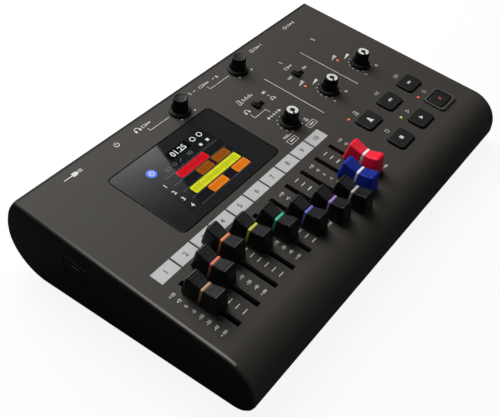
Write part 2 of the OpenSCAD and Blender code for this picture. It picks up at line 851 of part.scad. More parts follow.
// Screws of the base plate, the panel board and the main board
module screws() color(steel) {
    in_case() for (p = base_screw_places) {
        translate([p[0], p[1], screw_head_h - wall / 4]) screw(boss_top - 4);
    }
    on_panel() for (p = post_places) {
        translate([p[0], p[1], board_low]) screw(board_t + 5);
    }
    in_case() for (p = main_post_places) {
        translate([p[0], p[1], main_top]) rotate([180, 0, 0]) screw(board_t + 4.5);
    }
}

// A pan-head screw, its head under the given level and its shank above
module screw(l) {
    translate([0, 0, -screw_head_h]) cylinder(r = screw_head_r, h = screw_head_h);
    cylinder(r = screw_r, h = l);
}

// Side view of a fader cap: sloped ends, chamfered crests and ribbed wings down to the valley
function wing_share(y) = (abs(y) - stripe_w / 2) / (cap_crest - stripe_w / 2);
function wing_z(y) = cap_valley + cap_dish * pow(wing_share(y), wing_curve);
function wing(side) =
    let (
        run = cap_crest - stripe_w / 2,
        step = run / (rib_count + 1)
    )
    [
        for (i = [1:rib_count])
            for (edge = [[-0.3, 0], [-0.2, rib_h], [0.2, rib_h], [0.3, 0]])
                let (y = stripe_w / 2 + step * (i + edge[0]))
                [side * y, wing_z(y) + edge[1]]
    ];
function reversed(list) = [for (i = [len(list) - 1:-1:0]) list[i]];
cap_outline = concat(
    [[-cap_l / 2, cap_lift], [cap_l / 2, cap_lift], [cap_top_l / 2, cap_h - cap_lip], [cap_crest, cap_h]],
    reversed(wing(1)),
    [[stripe_w / 2, cap_valley], [-stripe_w / 2, cap_valley]],
    wing(-1),
    [[-cap_crest, cap_h], [-cap_top_l / 2, cap_h - cap_lip]]
);

// Plan of a fader cap, with its corners cut
cap_plan = [
    for (side = [[1, 1, 0], [-1, 1, 1], [-1, -1, 0], [1, -1, 1]])
        for (cut = side[2] == 0 ? [[0, cap_cut], [cap_cut, 0]] : [[cap_cut, 0], [0, cap_cut]])
            [side[0] * (cap_w / 2 - cut[0]), side[1] * (cap_l / 2 - cut[1])]
];

// End view of a fader cap: its sides lean in towards the crests
cap_sides = [
    [-cap_w / 2, cap_lift], [cap_w / 2, cap_lift],
    [cap_top_w / 2, cap_h], [-cap_top_w / 2, cap_h]
];

// Cap with the lever that carries it, grooved for its insert
module fader_cap(k) color(cap_colours[k - 1]) on_panel() translate([fader_x(k), fader_y(k), 0]) {
    difference() {
        intersection() {
            bar(cap_outline, cap_w);
            plate(cap_plan, cap_lift - 1, cap_h + 1);
            wall_plate(cap_sides, -cap_l, cap_l);
        }
        stripe_bar(cap_w + 1);
    }
    block([-lever_t / 2, -lever_l / 2, lever_low], [lever_t / 2, lever_l / 2, cap_lift + 1]);
}

// Insert: an arch that shows in the valley and down both sides
module fader_stripe(k) color(stripe_colours[k - 1]) on_panel() translate([fader_x(k), fader_y(k), 0]) {
    intersection() {
        stripe_bar(cap_w);
        wall_plate(cap_sides, -stripe_w, stripe_w);
    }
}

module stripe_bar(w) {
    half = stripe_w / 2;
    difference() {
        block([-w / 2, -half, cap_lift - (w - cap_w)], [w / 2, half, cap_valley + (w - cap_w)]);
        block(
            [stripe_t - cap_top_w / 2, -half - 1, cap_lift - 2],
            [cap_top_w / 2 - stripe_t, half + 1, cap_valley - stripe_t]
        );
    }
}

// Knob: a fluted, tapering grip on a skirt, over its own shaft
module knob(p) color(cap_black) on_panel() translate([p[0], p[1], 0]) {
    grip_low = knob_lift + skirt_h;
    difference() {
        rotate_extrude() polygon([
            [0, knob_lift], [skirt_d / 2, knob_lift], [skirt_d / 2, grip_low - 0.7],
            [skirt_d / 2 - 0.4, grip_low], [skirt_d / 2 - 0.7, grip_low],
            [grip_d / 2 + 0.1, grip_low - skirt_dish], [grip_d / 2, grip_low - skirt_dish],
            [grip_top_d / 2, knob_h - 0.5], [grip_top_d / 2 - 0.5, knob_h], [0, knob_h]
        ]);
        translate([0, 0, knob_lift - 1]) {
            cylinder(r = shaft_d / 2 + run_gap, h = shaft_top + 0.3 + 1 - knob_lift);
        }
        lean = atan((grip_d - grip_top_d) / 2 / (knob_h - grip_low));
        for (i = [0:flute_count - 1]) {
            rotate([0, 0, 360 * i / flute_count]) translate([grip_d / 2 + 0.25, 0, grip_low + 0.5]) {
                rotate([0, -lean, 0]) cylinder(r = 0.5, h = knob_h);
            }
        }
    }
    translate([0, 0, shaft_low]) cylinder(d = shaft_d, h = shaft_top - shaft_low);
}

// Key: a pillow top over a retaining flange and the post that presses the switch
module key(p) color(cap_black) on_panel() translate([p[0], p[1], 0]) {
    edge = 0.5;
    rings = [
        [0, key_flange_top - 0.5], [0, key_h - edge],
        [edge * 0.6, key_h - edge * 0.3], [2 * edge, key_h]
    ];
    loft([
        for (ring = rings)
            [
                for (q = rounded(key_w - 2 * ring[0], key_d - 2 * ring[0], key_r - ring[0]))
                    [q[0], q[1], ring[1]]
            ]
    ]);
    plate(
        rounded(key_w + 2, key_d + 2, key_r + 1),
        key_flange_top - key_flange_t, key_flange_top
    );
    translate([0, 0, key_post_low]) cylinder(r = 2, h = 2);
}

// Switch tab on its foot, at the left end of its travel
module switch_tab() {
    translate([-switch_travel / 2, 0, 0]) {
        block([-tab_w / 2, -tab_d / 2, -tab_foot], [tab_w / 2, tab_d / 2, tab_rise]);
    }
}

// Tab of a panel switch: it carries a thumb plate over the panel that runs up the slope
module panel_tab() {
    switch_tab();
    translate([-switch_travel / 2, 0, -body_top]) {
        block(
            [-tab_w / 2, -tab_d / 2 - tab_plate_front, tab_plate_low],
            [tab_w / 2, tab_d / 2 + tab_plate_rear, tab_plate_top]
        );
    }
}

module input_switch_tab() color(cap_black) on_panel() {
    translate([input_switch_x, switch_y, body_top]) panel_tab();
}

module monitor_switch_tab() color(cap_black) on_panel() {
    translate([monitor_switch_x, switch_y, body_top]) panel_tab();
}

module power_switch_tab() color(cap_black) in_case() {
    translate([power_x, bay_y - panel_t, power_z]) rotate([-90, 0, 0]) switch_tab();
}

// Battery door: a plate on a hinge barrel with stub pins, and a thumb notch at its free edge.
// Its side wings start behind the barrel, so that they swing clear of the base plate.
module battery_door() color(base_black) in_case() difference() {
    barrel_half = cell_room_l / 2 - slide_gap;
    union() {
        block([-door_half, wing_y, 0], [door_half, door_rear, door_t]);
        block([-barrel_half, hinge_y, 0], [barrel_half, wing_y + 1, door_t]);
        translate([-barrel_half, hinge_y, barrel_r]) rotate([0, 90, 0]) {
            cylinder(r = barrel_r, h = 2 * barrel_half);
        }
        translate([-cell_room_l / 2 - pin_l, hinge_y, barrel_r]) rotate([0, 90, 0]) {
            cylinder(r = pin_r, h = cell_room_l + 2 * pin_l);
        }
    }
    translate([0, door_rear - 5, -3.2]) rotate([0, 90, 0]) cylinder(r = 4, h = 14, center = true);
}

// Card door: a flap on stub pins along its lower edge, with a nail notch near its upper edge
module card_door() color(case_grey) on_panel() translate([-body_w / 2, card_y, -card_z]) difference() {
    union() {
        block([0, -card_door_l / 2, card_pin_z], [card_door_t, card_door_l / 2, card_door_h / 2]);
        translate([card_door_t / 2, 0, card_pin_z]) {
            along_y(card_door_t / 2, -card_door_l / 2, card_door_l / 2);
            along_y(card_pin_r, -card_pin_reach + slide_gap, card_pin_reach - slide_gap);
        }
    }
    block([-1, -nail_w / 2, card_door_h / 2 - nail_low], [nail_t, nail_w / 2, card_door_h / 2 - nail_top]);
}

top_case();
bottom_case();
rear_panel();
display_window();
lcd_module();
panel_board();
main_board();
fader_bodies();
pot_bodies();
slide_switch_bodies();
key_switches();
lamp_lenses();
jack_sockets();
jack_nuts();
input_sockets();
supply_socket();
card_socket();
battery_contacts();
feet();
screws();
for (k = [1:fader_count]) {
    fader_cap(k);
    fader_stripe(k);
}
knob(knob_places[0]);  // knob_phones
knob(knob_places[1]);  // knob_output
knob(knob_places[2]);  // knob_balance
knob(knob_places[3]);  // knob_gain_1
knob(knob_places[4]);  // knob_gain_2
key(key_click_at);  // key_click
key(key_rewind_at);  // key_rewind
key(key_forward_at);  // key_forward
key(key_stop_at);  // key_stop
key(key_play_at);  // key_play
key(key_record_at);  // key_record
input_switch_tab();
monitor_switch_tab();
power_switch_tab();
battery_door();
card_door();
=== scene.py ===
# Digital multitrack recorder: finishes, fader caps, knobs, keys, display and prints over the
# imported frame
import json
import math

import bmesh
import bpy
import numpy as np
from mathutils import Matrix

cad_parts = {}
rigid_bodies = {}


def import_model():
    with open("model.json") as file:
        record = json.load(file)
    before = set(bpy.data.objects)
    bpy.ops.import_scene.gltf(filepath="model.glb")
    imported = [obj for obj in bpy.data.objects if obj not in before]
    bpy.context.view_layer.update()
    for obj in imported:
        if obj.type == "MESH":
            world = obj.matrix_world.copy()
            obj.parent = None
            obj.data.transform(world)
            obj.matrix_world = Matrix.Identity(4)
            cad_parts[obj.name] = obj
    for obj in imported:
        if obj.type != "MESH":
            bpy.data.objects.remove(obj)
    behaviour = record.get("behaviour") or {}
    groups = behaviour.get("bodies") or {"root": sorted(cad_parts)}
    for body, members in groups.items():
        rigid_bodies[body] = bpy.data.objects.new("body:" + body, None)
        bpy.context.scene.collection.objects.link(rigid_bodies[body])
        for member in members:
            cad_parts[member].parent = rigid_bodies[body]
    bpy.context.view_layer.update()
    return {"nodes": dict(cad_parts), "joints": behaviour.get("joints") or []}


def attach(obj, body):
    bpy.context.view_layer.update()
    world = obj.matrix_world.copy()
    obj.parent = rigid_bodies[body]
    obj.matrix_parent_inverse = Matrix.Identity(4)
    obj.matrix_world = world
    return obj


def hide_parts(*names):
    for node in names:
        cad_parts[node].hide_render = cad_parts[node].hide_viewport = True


for leftOver in list(bpy.data.objects):
    bpy.data.objects.remove(leftOver)
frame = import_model()
nodes = frame["nodes"]
scene = bpy.context.scene
scene.view_settings.view_transform = "Standard"
print("frame loaded:", len(nodes), "nodes")

# the sloping panel that nearly everything sits on: slope in degrees, fader row and its height in
# millimetres
panel = dict(slope=7.4, row=-38.5, height=35.8)
mm = 0.001
cosSlope = math.cos(math.radians(panel["slope"]))
sinSlope = math.sin(math.radians(panel["slope"]))


# panel millimetres (across, up the slope, out of the panel) to metres in the frame: a turn about X,
# then a shift
def onPanel(points):
    x, y, z = np.moveaxis(np.asarray(points, float), -1, 0)
    up = panel["height"] + y * sinSlope + z * cosSlope
    return np.stack([x, panel["row"] + y * cosSlope - z * sinSlope, up], -1) * mm


# the way back: metres in the frame to panel millimetres
def fromFrame(points):
    x, y, z = np.moveaxis(np.asarray(points, float) / mm, -1, 0)
    y, z = y - panel["row"], z - panel["height"]
    return np.stack([x, y * cosSlope + z * sinSlope, z * cosSlope - y * sinSlope], -1)


# numbers of a mesh's vertices, corners or faces as the rows of an array
def readRows(items, attribute, width=3, kind=float):
    values = np.empty(len(items) * width, kind)
    items.foreach_get(attribute, values)
    return values.reshape(-1, width)


# lowest and highest corner of a CAD node in panel millimetres
def panelBox(node):
    points = fromFrame(readRows(nodes[node].data.vertices, "co"))
    return points.min(0), points.max(0)


def panelMiddle(node):
    low, high = panelBox(node)
    return (low + high) / 2


# colours are written as a colour picker shows them, 0 to 255, and turned to the linear values that
# shaders take
def paint(red, green, blue):
    c = np.array([red, green, blue]) / 255
    return tuple(np.where(c <= 0.04045, c / 12.92, ((c + 0.055) / 1.055) ** 2.4)) + (1.0,)


# finishes: small node helpers, shared node groups, then one function for each family of materials
def feed(tree, socket, value):
    if isinstance(value, bpy.types.NodeSocket):
        tree.links.new(value, socket)
    else:
        socket.default_value = value


def feedAll(tree, node, **values):
    for label, value in values.items():
        feed(tree, node.inputs[label], value)


def objectPlace(tree):
    return tree.nodes.new("ShaderNodeTexCoord").outputs["Object"]


def mathNode(tree, operation, *values):
    node = tree.nodes.new("ShaderNodeMath")
    node.operation = operation
    for socket, value in zip(node.inputs, values):
        feed(tree, socket, value)
    return node.outputs[0]


def noiseNode(tree, vector, scale, detail=2.0):
    node = tree.nodes.new("ShaderNodeTexNoise")
    feedAll(tree, node, Vector=vector, Scale=scale, Detail=detail)
    return node.outputs[0]


# 0 up to low, 1 from high on, even between them
def rampNode(tree, value, low, high):
    node = tree.nodes.new("ShaderNodeMapRange")
    feedAll(tree, node, Value=value, **{"From Min": low, "From Max": high})
    return node.outputs["Result"]


def mixColours(tree, share, first, second, blend="MIX"):
    node = tree.nodes.new("ShaderNodeMix")
    node.data_type, node.blend_type = "RGBA", blend
    feedAll(tree, node, Factor=share, A=first, B=second)
    return node.outputs["Result"]


def brighten(tree, colour, factor):
    node = tree.nodes.new("ShaderNodeHueSaturation")
    feedAll(tree, node, Color=colour, Value=factor)
    return node.outputs["Color"]


# a node group: a tuple makes a colour socket, a number a plain one
def newGroup(name, outputs, **inputs):
    tree = bpy.data.node_groups.new(name, "ShaderNodeTree")
    for label, value in inputs.items():
        kind = "NodeSocketColor" if isinstance(value, tuple) else "NodeSocketFloat"
        tree.interface.new_socket(label, in_out="INPUT", socket_type=kind).default_value = value
    for label in outputs:
        kind = "NodeSocketColor" if label == "Color" else "NodeSocketFloat"
        tree.interface.new_socket(label, in_out="OUTPUT", socket_type=kind)
    return tree, tree.nodes.new("NodeGroupInput").outputs, tree.nodes.new("NodeGroupOutput")


darkGrey, midGrey = (0.1, 0.1, 0.1, 1.0), (0.6, 0.6, 0.6, 1.0)
grainLook = dict(grainShare=0.45, driftCells=17.0, driftDetail=3.0)


# moulded surface: fine grain and broad shade drift; brightness = 1 + spread x (grain - 1/2),
# and the roughness drifts too
def makeMouldGrain():
    tree, given, out = newGroup(
        "mouldGrain", ("Color", "Roughness", "Height"), Color=darkGrey, Cells=2400.0, Spread=0.2,
        Roughness=0.5, Rub=0.2, Edge=0.0, EdgeColor=darkGrey)
    where = objectPlace(tree)
    grain = noiseNode(tree, where, given["Cells"])
    drift = noiseNode(tree, where, grainLook["driftCells"], grainLook["driftDetail"])
    share = grainLook["grainShare"]
    both = mathNode(tree, "MULTIPLY_ADD", grain, share,
                    mathNode(tree, "MULTIPLY", drift, 1 - share))
    offset = mathNode(tree, "SUBTRACT", both, 0.5)
    colour = mixColours(tree, given["Edge"], given["Color"], given["EdgeColor"])
    feedAll(tree, out, Height=grain,
            Color=brighten(tree, colour,
                           mathNode(tree, "MULTIPLY_ADD", offset, given["Spread"], 1.0)),
            Roughness=mathNode(tree, "MULTIPLY_ADD", offset, given["Rub"], given["Roughness"]))
    return tree


markLook = dict(speckCells=900.0, speckDetail=1.0, speckFrom=0.70, speckTo=0.80,
                dust=(190, 188, 182), patchCells=45.0, patchDetail=4.0, patchFrom=0.45,
                patchTo=0.75)


# dust and finger marks: sparse pale specks where a fine noise peaks, and patches where the gloss
# is dulled
def makeHandMarks():
    tree, given, out = newGroup("handMarks", ("Color", "Roughness"), Color=darkGrey, Dust=0.1,
                                Roughness=0.1, Smear=0.1)
    where = objectPlace(tree)
    specks = rampNode(tree, noiseNode(tree, where, markLook["speckCells"], markLook["speckDetail"]),
                      markLook["speckFrom"], markLook["speckTo"])
    patch = rampNode(tree, noiseNode(tree, where, markLook["patchCells"], markLook["patchDetail"]),
                     markLook["patchFrom"], markLook["patchTo"])
    dusty = mathNode(tree, "MULTIPLY", specks, given["Dust"])
    feedAll(tree, out, Color=mixColours(tree, dusty, given["Color"], paint(*markLook["dust"])),
            Roughness=mathNode(tree, "MULTIPLY_ADD", patch, given["Smear"], given["Roughness"]))
    return tree


lineLook = dict(stretch=(1.0, 22.0, 22.0), cells=160.0, detail=3.0, tone=0.35, rough=0.3)


# drawn metal: a noise stretched along X gives fine lines in tone, gloss and height
def makeDrawnLines():
    tree, given, out = newGroup("drawnLines", ("Color", "Roughness", "Height"), Color=midGrey,
                                Roughness=0.3)
    mapping = tree.nodes.new("ShaderNodeMapping")
    feedAll(tree, mapping, Vector=objectPlace(tree), Scale=lineLook["stretch"])
    lines = noiseNode(tree, mapping.outputs["Vector"], lineLook["cells"], lineLook["detail"])
    offset = mathNode(tree, "SUBTRACT", lines, 0.5)
    tone = mathNode(tree, "MULTIPLY_ADD", offset, lineLook["tone"], 1.0)
    feedAll(tree, out, Height=lines, Color=brighten(tree, given["Color"], tone),
            Roughness=mathNode(tree, "MULTIPLY_ADD", offset, lineLook["rough"], given["Roughness"]))
    return tree


pixelLook = dict(Scale=5200.0, Color1=(1, 1, 1, 1), Color2=(0.82, 0.82, 0.84, 1))


# display picture: square cells, every other one a little darker
def makePixelCells():
    tree, given, out = newGroup("pixelCells", ("Color",), Color=darkGrey)
    cells = tree.nodes.new("ShaderNodeTexChecker")
    feedAll(tree, cells, Vector=objectPlace(tree), **pixelLook)
    feedAll(tree, out,
            Color=mixColours(tree, 1.0, given["Color"], cells.outputs["Color"], "MULTIPLY"))
    return tree


groups = dict(mould=makeMouldGrain(), marks=makeHandMarks(), drawn=makeDrawnLines(),
              pixels=makePixelCells())


def newFinish(name, group, **values):
    material = bpy.data.materials.new(name)
    material.use_nodes = True
    tree = material.node_tree
    shader = tree.nodes["Principled BSDF"]
    node = tree.nodes.new("ShaderNodeGroup")
    node.node_tree = groups[group]
    feedAll(tree, node, **values)
    tree.links.new(node.outputs["Color"], shader.inputs["Base Color"])
    if "Roughness" in values:
        tree.links.new(node.outputs["Roughness"], shader.inputs["Roughness"])
    return material, tree, shader, node


def addBump(tree, shader, height, strength, depth):
    bump = tree.nodes.new("ShaderNodeBump")
    feedAll(tree, bump, Height=height, Strength=strength, Distance=depth)
    tree.links.new(bump.outputs["Normal"], shader.inputs["Normal"])


def addGlow(tree, shader, node, strength):
    tree.links.new(node.outputs["Color"], shader.inputs["Emission Color"])
    shader.inputs["Emission Strength"].default_value = strength


grainDepth, lineDepth = 0.00012, 0.00005


# the second tone, edge, comes in where the tint of the mesh says so, and towards the rear between
# two distances; on most finishes it is a painted highlight or a painted shade
def moulded(name, colour, rough=0.5, cells=2400.0, spread=0.3, rub=0.25, bump=0.12, gloss=0.5,
            glow=0.0, edge=None, rearFade=None):
    material, tree, shader, node = newFinish(
        name, "mould", Color=paint(*colour), Cells=cells, Spread=spread, Roughness=rough, Rub=rub)
    if edge:
        mask = tree.nodes.new("ShaderNodeAttribute")
        mask.attribute_name = "tint"
        share = mask.outputs["Fac"]
        if rearFade:
            split = tree.nodes.new("ShaderNodeSeparateXYZ")
            tree.links.new(objectPlace(tree), split.inputs[0])
            share = mathNode(tree, "MAXIMUM", share, rampNode(tree, split.outputs["Y"], *rearFade))
        feedAll(tree, node, Edge=share, EdgeColor=paint(*edge))
    shader.inputs["Specular IOR Level"].default_value = gloss
    if bump:
        addBump(tree, shader, node.outputs["Height"], bump, grainDepth)
    if glow:
        addGlow(tree, shader, node, glow)
    return material


def glossy(name, colour, rough=0.06, dust=0.06, smear=0.05, gloss=0.5):
    material, _, shader, _ = newFinish(name, "marks", Color=paint(*colour), Dust=dust,
                                       Roughness=rough, Smear=smear)
    shader.inputs["Specular IOR Level"].default_value = gloss
    return material


def drawnMetal(name, colour, rough, bump=0.15):
    material, tree, shader, node = newFinish(name, "drawn", Color=paint(*colour), Roughness=rough)
    shader.inputs["Metallic"].default_value = 1.0
    addBump(tree, shader, node.outputs["Height"], bump, lineDepth)
    return material


def litPixels(name, colour, glow, rough=0.03, gloss=0.24):
    material, tree, shader, node = newFinish(name, "pixels", Color=paint(*colour))
    addGlow(tree, shader, node, glow)
    shader.inputs["Roughness"].default_value = rough
    shader.inputs["Specular IOR Level"].default_value = gloss
    return material


caseTop = readRows(nodes["top_case"].data.vertices, "co")
rearCrease = float(caseTop[caseTop[:, 2].argmax(), 1])
# second tones: painted highlights on the frame, cap ribs, knob rims and key rims; on the case the
# black of the cheeks with painted shade; on the lamps their bright middles
mouldings = dict(
    # caseGrey: painted shade towards the rear crease, where the rounding catches no light
    caseGrey=dict(colour=(65, 62, 58), rough=0.55, spread=0.2, bump=0.2, gloss=0.12, edge=(9, 9, 9),
                  rearFade=(rearCrease - 0.0020, rearCrease - 0.0007)),
    frameGrey=dict(colour=(58, 56, 53), rough=0.55, spread=0.2, bump=0.2, gloss=0.2,
                   edge=(120, 118, 114)),
    cheekBlack=dict(colour=(9, 9, 9), rough=0.6, spread=0.25, bump=0.2, gloss=0.12),
    # painted highlight along the start of the left edge's roll, fading to a darker tone towards the
    # rear
    edgeHighlight=dict(colour=(146, 143, 136), spread=0.25, bump=0.2, gloss=0.2, edge=(52, 50, 47),
                  rearFade=(-0.07, 0.05)),
    lipHighlight=dict(colour=(140, 140, 136), rough=0.6, spread=0.25, gloss=0.2),
    baseBlack=dict(colour=(26, 26, 26), rough=0.62, cells=1800.0, bump=0.3, gloss=0.35),
    capBlack=dict(colour=(10, 10, 10), rough=0.42, cells=3600.0, spread=0.15, rub=0.1, bump=0.03,
                  gloss=0.25, edge=(84, 84, 84)),
    capBlue=dict(colour=(19, 44, 164), rough=0.42, cells=3600.0, spread=0.12, rub=0.1, bump=0.03,
                 gloss=0.28, edge=(66, 88, 186)),
    capRed=dict(colour=(255, 30, 60), rough=0.38, cells=3600.0, spread=0.1, rub=0.1, bump=0.03,
                gloss=0.28, edge=(240, 84, 84)),
    knobBlack=dict(colour=(7, 7, 8), rough=0.40, cells=3600.0, gloss=0.16, edge=(96, 95, 92)),
    knobTop=dict(colour=(26, 26, 26), cells=2600.0, spread=0.5, gloss=0.22),
    keyRubber=dict(colour=(28, 29, 29), rough=0.6, cells=3000.0, spread=0.2, gloss=0.17,
                   edge=(96, 95, 92)),
    footRubber=dict(colour=(24, 24, 24), rough=0.85, cells=1500.0, spread=0.4, bump=0.5, gloss=0.2),
    socketBlack=dict(colour=(20, 20, 21), rough=0.38, cells=2600.0),
    switchBlack=dict(colour=(7, 7, 7), cells=3000.0, gloss=0.15),
    # near black for the dark parts in the slots, and painted shade on key sides, key gaps and the
    # record frame's walls
    slotDarkAndShade=dict(colour=(6, 6, 6), rough=0.8, bump=0.0, gloss=0.06),
    boardGreen=dict(colour=(24, 74, 44), rough=0.35, cells=700.0, spread=0.5, bump=0.1),
    printInk=dict(colour=(214, 213, 208), rough=0.55, cells=5200.0, bump=0.05),
    tilePaint=dict(colour=(190, 193, 192), cells=3200.0, spread=0.12, bump=0.05),
    tileInk=dict(colour=(84, 86, 87), rough=0.55, cells=5200.0, bump=0.0),
    lampRed=dict(colour=(168, 50, 22), rough=0.25, cells=1500.0, spread=0.2, glow=0.45,
                 edge=(255, 160, 116)),
    lampGreen=dict(colour=(104, 156, 34), rough=0.25, cells=1500.0, spread=0.2, glow=0.45,
                   edge=(222, 246, 160)),
    symbolRed=dict(colour=(168, 62, 54), cells=5200.0, bump=0.0),
)
finishes = {name: moulded(name, **values) for name, values in mouldings.items()}
finishes.update(
    windowTint=glossy("windowTint", (34, 34, 34), rough=0.03, smear=0.01, gloss=0.24),
    displayDark=glossy("displayDark", (18, 19, 21), rough=0.2),
    steel=drawnMetal("steel", (176, 176, 172), 0.34),
    nutMetal=drawnMetal("nutMetal", (196, 196, 192), 0.24),
)
print("finishes ready:", len(finishes))


# mesh helpers; quads between neighbouring rows of a grid whose rows are closed rings
def ringFaces(rows, columns, closed=True):
    i, j = np.arange(rows - 1)[:, None], np.arange(columns)[None, :]
    k = (j + 1) % columns
    quads = np.stack([i * columns + j, i * columns + k, (i + 1) * columns + k,
                      (i + 1) * columns + j], -1)
    ends = [list(range(columns))[::-1], list(range((rows - 1) * columns, rows * columns))]
    return quads.reshape(-1, 4).tolist() + (ends if closed else [])


# a mesh becomes a piece on its body: smooth but for sharp edges, with a finish and the nodes it
# stands for
def placePiece(name, mesh, finish, body, stands, sharp):
    mesh.polygons.foreach_set("use_smooth", np.ones(len(mesh.polygons), bool))
    mesh.update()
    mesh.set_sharp_from_angle(angle=math.radians(sharp))
    mesh.materials.clear()
    mesh.materials.append(finishes[finish])
    piece = bpy.data.objects.new(name, mesh)
    scene.collection.objects.link(piece)
    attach(piece, body)
    if stands:
        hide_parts(*stands)
    return piece


def addPiece(name, points, faces, finish, body, slot, stands=(), sharp=35.0):
    mesh = bpy.data.meshes.new(name)
    mesh.from_pydata(np.asarray(points, float).reshape(-1, 3).tolist(), [], faces)
    return placePiece(name, mesh, finish, body, stands, sharp)


# a stack of closed rings in panel millimetres, its ends covered unless they already draw together
def addLoft(name, rings, finish, body, slot, closed=True, **more):
    faces = ringFaces(rings.shape[0], rings.shape[1], closed)
    return addPiece(name, onPanel(rings), faces, finish, body, slot, **more)


# a mask on the points of a piece, for finishes with a second tone
def addTint(piece, values):
    tint = piece.data.attributes.new("tint", "FLOAT", "POINT")
    tint.data.foreach_set("value", np.ascontiguousarray(values, np.float32).ravel())


# some faces of a piece, or some rows of faces of a loft, take a second finish
def finishFaces(piece, finish, chosen):
    piece.data.materials.append(finishes[finish])
    piece.data.polygons.foreach_set("material_index", chosen.astype(np.int32))


def finishRows(piece, finish, columns, chosen):
    finishFaces(piece, finish, np.isin(np.arange(len(piece.data.polygons)) // columns, chosen))


def evenShade(piece):
    shade = piece.modifiers.new("evenShade", "WEIGHTED_NORMAL")
    shade.keep_sharp = True
    shade.weight = 60
    return piece


# a rectangle with rounded corners, anticlockwise: each corner is a quarter circle about its own
# centre
def roundedRing(width, depth, radius, steps=8):
    corner = np.repeat(np.arange(4), steps + 1)
    angle = np.radians(90.0 * corner + np.tile(np.linspace(0, 90, steps + 1), 4))
    sx = np.where((corner == 0) | (corner == 3), 1, -1)
    sy = np.where(corner < 2, 1, -1)
    return np.stack([sx * (width / 2 - radius) + radius * np.cos(angle),
                     sy * (depth / 2 - radius) + radius * np.sin(angle)], -1)


# rings of rounded rectangles about one middle, one (width, depth, radius) for each level
def roundedStack(middle, sizes, levels, steps=8):
    rings = [roundedRing(*size, steps) + middle for size in sizes]
    return np.stack([np.column_stack([ring, np.full(len(ring), z)])
                     for ring, z in zip(rings, levels)])


# rings about (x, y) at some levels: radius is an array of levels by angles, or of levels by one
def turnedStack(x, y, radius, levels, angle):
    radius = np.broadcast_to(radius, (len(levels), len(angle)))
    heights = np.broadcast_to(levels[:, None], radius.shape)
    return np.stack([x + radius * np.cos(angle), y + radius * np.sin(angle), heights], -1)


# a straight side whose upper edge rounds off by a quarter circle: inset = r(1 - cos),
# level = top - r(1 - sin)
def roundOver(radius, foot, top, steps):
    t = np.radians(np.linspace(0, 90, steps))
    return (np.concatenate([[0.0], radius * (1 - np.cos(t))]),
            np.concatenate([[foot], top - radius * (1 - np.sin(t))]))


# flat marks: each shape is (points, faces) in panel millimetres
def rect(x0, y0, x1, y1):
    return np.array([[x0, y0], [x1, y0], [x1, y1], [x0, y1]]), [[0, 1, 2, 3]]


def shape(*points):
    return np.array(points, float), [list(range(len(points)))]


def disc(x, y, radius, count=28):
    a = np.linspace(0, 2 * np.pi, count, endpoint=False)
    return np.stack([x + radius * np.cos(a), y + radius * np.sin(a)], -1), [list(range(count))]


# part of a ring between two radii and two angles in degrees
def ringPart(x, y, inner, outer, start=0.0, end=360.0, count=48):
    a = np.radians(np.linspace(start, end, count + 1))
    points = np.concatenate([np.stack([x + r * np.cos(a), y + r * np.sin(a)], -1)
                             for r in (inner, outer)])
    i = np.arange(count)
    return points, np.stack([i, i + count + 1, i + count + 2, i + 1], -1).tolist()


# a line of a given width through some points: one bar for each stretch, run on by half the width
def lineRun(points, width):
    p = np.asarray(points, float)
    along = np.diff(p, axis=0)
    along /= np.linalg.norm(along, axis=1)[:, None]
    side = np.stack([-along[:, 1], along[:, 0]], -1) * width / 2
    a, b = p[:-1] - along * width / 2, p[1:] + along * width / 2
    corners = np.stack([a - side, b - side, b + side, a + side], 1)
    return corners.reshape(-1, 2), np.arange(len(a) * 4).reshape(-1, 4).tolist()


def boxLine(x0, y0, x1, y1, width):
    return lineRun([(x0, y0), (x1, y0), (x1, y1), (x0, y1), (x0, y0)], width)


# figures: a text curve made a mesh, read back as flat points and faces, with its middle at the
# given place
def figures(text, x, y, size, bold=0.018):
    curve = bpy.data.curves.new("figures", "FONT")
    curve.body = text
    curve.size = size
    curve.offset = bold * size
    curve.align_x = "CENTER"
    holder = bpy.data.objects.new("figures", curve)
    scene.collection.objects.link(holder)
    mesh = bpy.data.meshes.new_from_object(
        holder.evaluated_get(bpy.context.evaluated_depsgraph_get()))
    points = readRows(mesh.vertices, "co")[:, :2]
    faces = [list(face.vertices) for face in mesh.polygons]
    points = points - (points.min(0) + points.max(0)) / 2 + (x, y)
    bpy.data.objects.remove(holder)
    bpy.data.curves.remove(curve)
    bpy.data.meshes.remove(mesh)
    return points, faces


def shifted(shapes, x, y):
    return [(points + (x, y), faces) for points, faces in shapes]


# one mesh of many flat shapes, at one level over the panel
def addFlats(name, shapes, level, finish, slot, body="housing"):
    starts = np.cumsum([0] + [len(points) for points, _ in shapes])
    points = np.concatenate([points for points, _ in shapes])
    faces = [[int(start) + corner for corner in face]
             for start, (_, some) in zip(starts, shapes) for face in some]
    placed = onPanel(np.column_stack([points, np.full(len(points), level)]))
    return addPiece(name, placed, faces, finish, body, slot)


skin = dict(sharp=32.0, mergeWithin=2e-6)


# a merged copy of a CAD node whose small facets shade as one curve
def smoothNode(node, finish, body, slot):
    mesh = nodes[node].data.copy()
    mesh.name = node + "Skin"
    if "custom_normal" in mesh.attributes:
        mesh.attributes.remove(mesh.attributes["custom_normal"])
    work = bmesh.new()
    work.from_mesh(mesh)
    bmesh.ops.remove_doubles(work, verts=work.verts, dist=skin["mergeWithin"])
    work.to_mesh(mesh)
    work.free()
    return evenShade(placePiece(node + "Skin", mesh, finish, body, [node], skin["sharp"]))


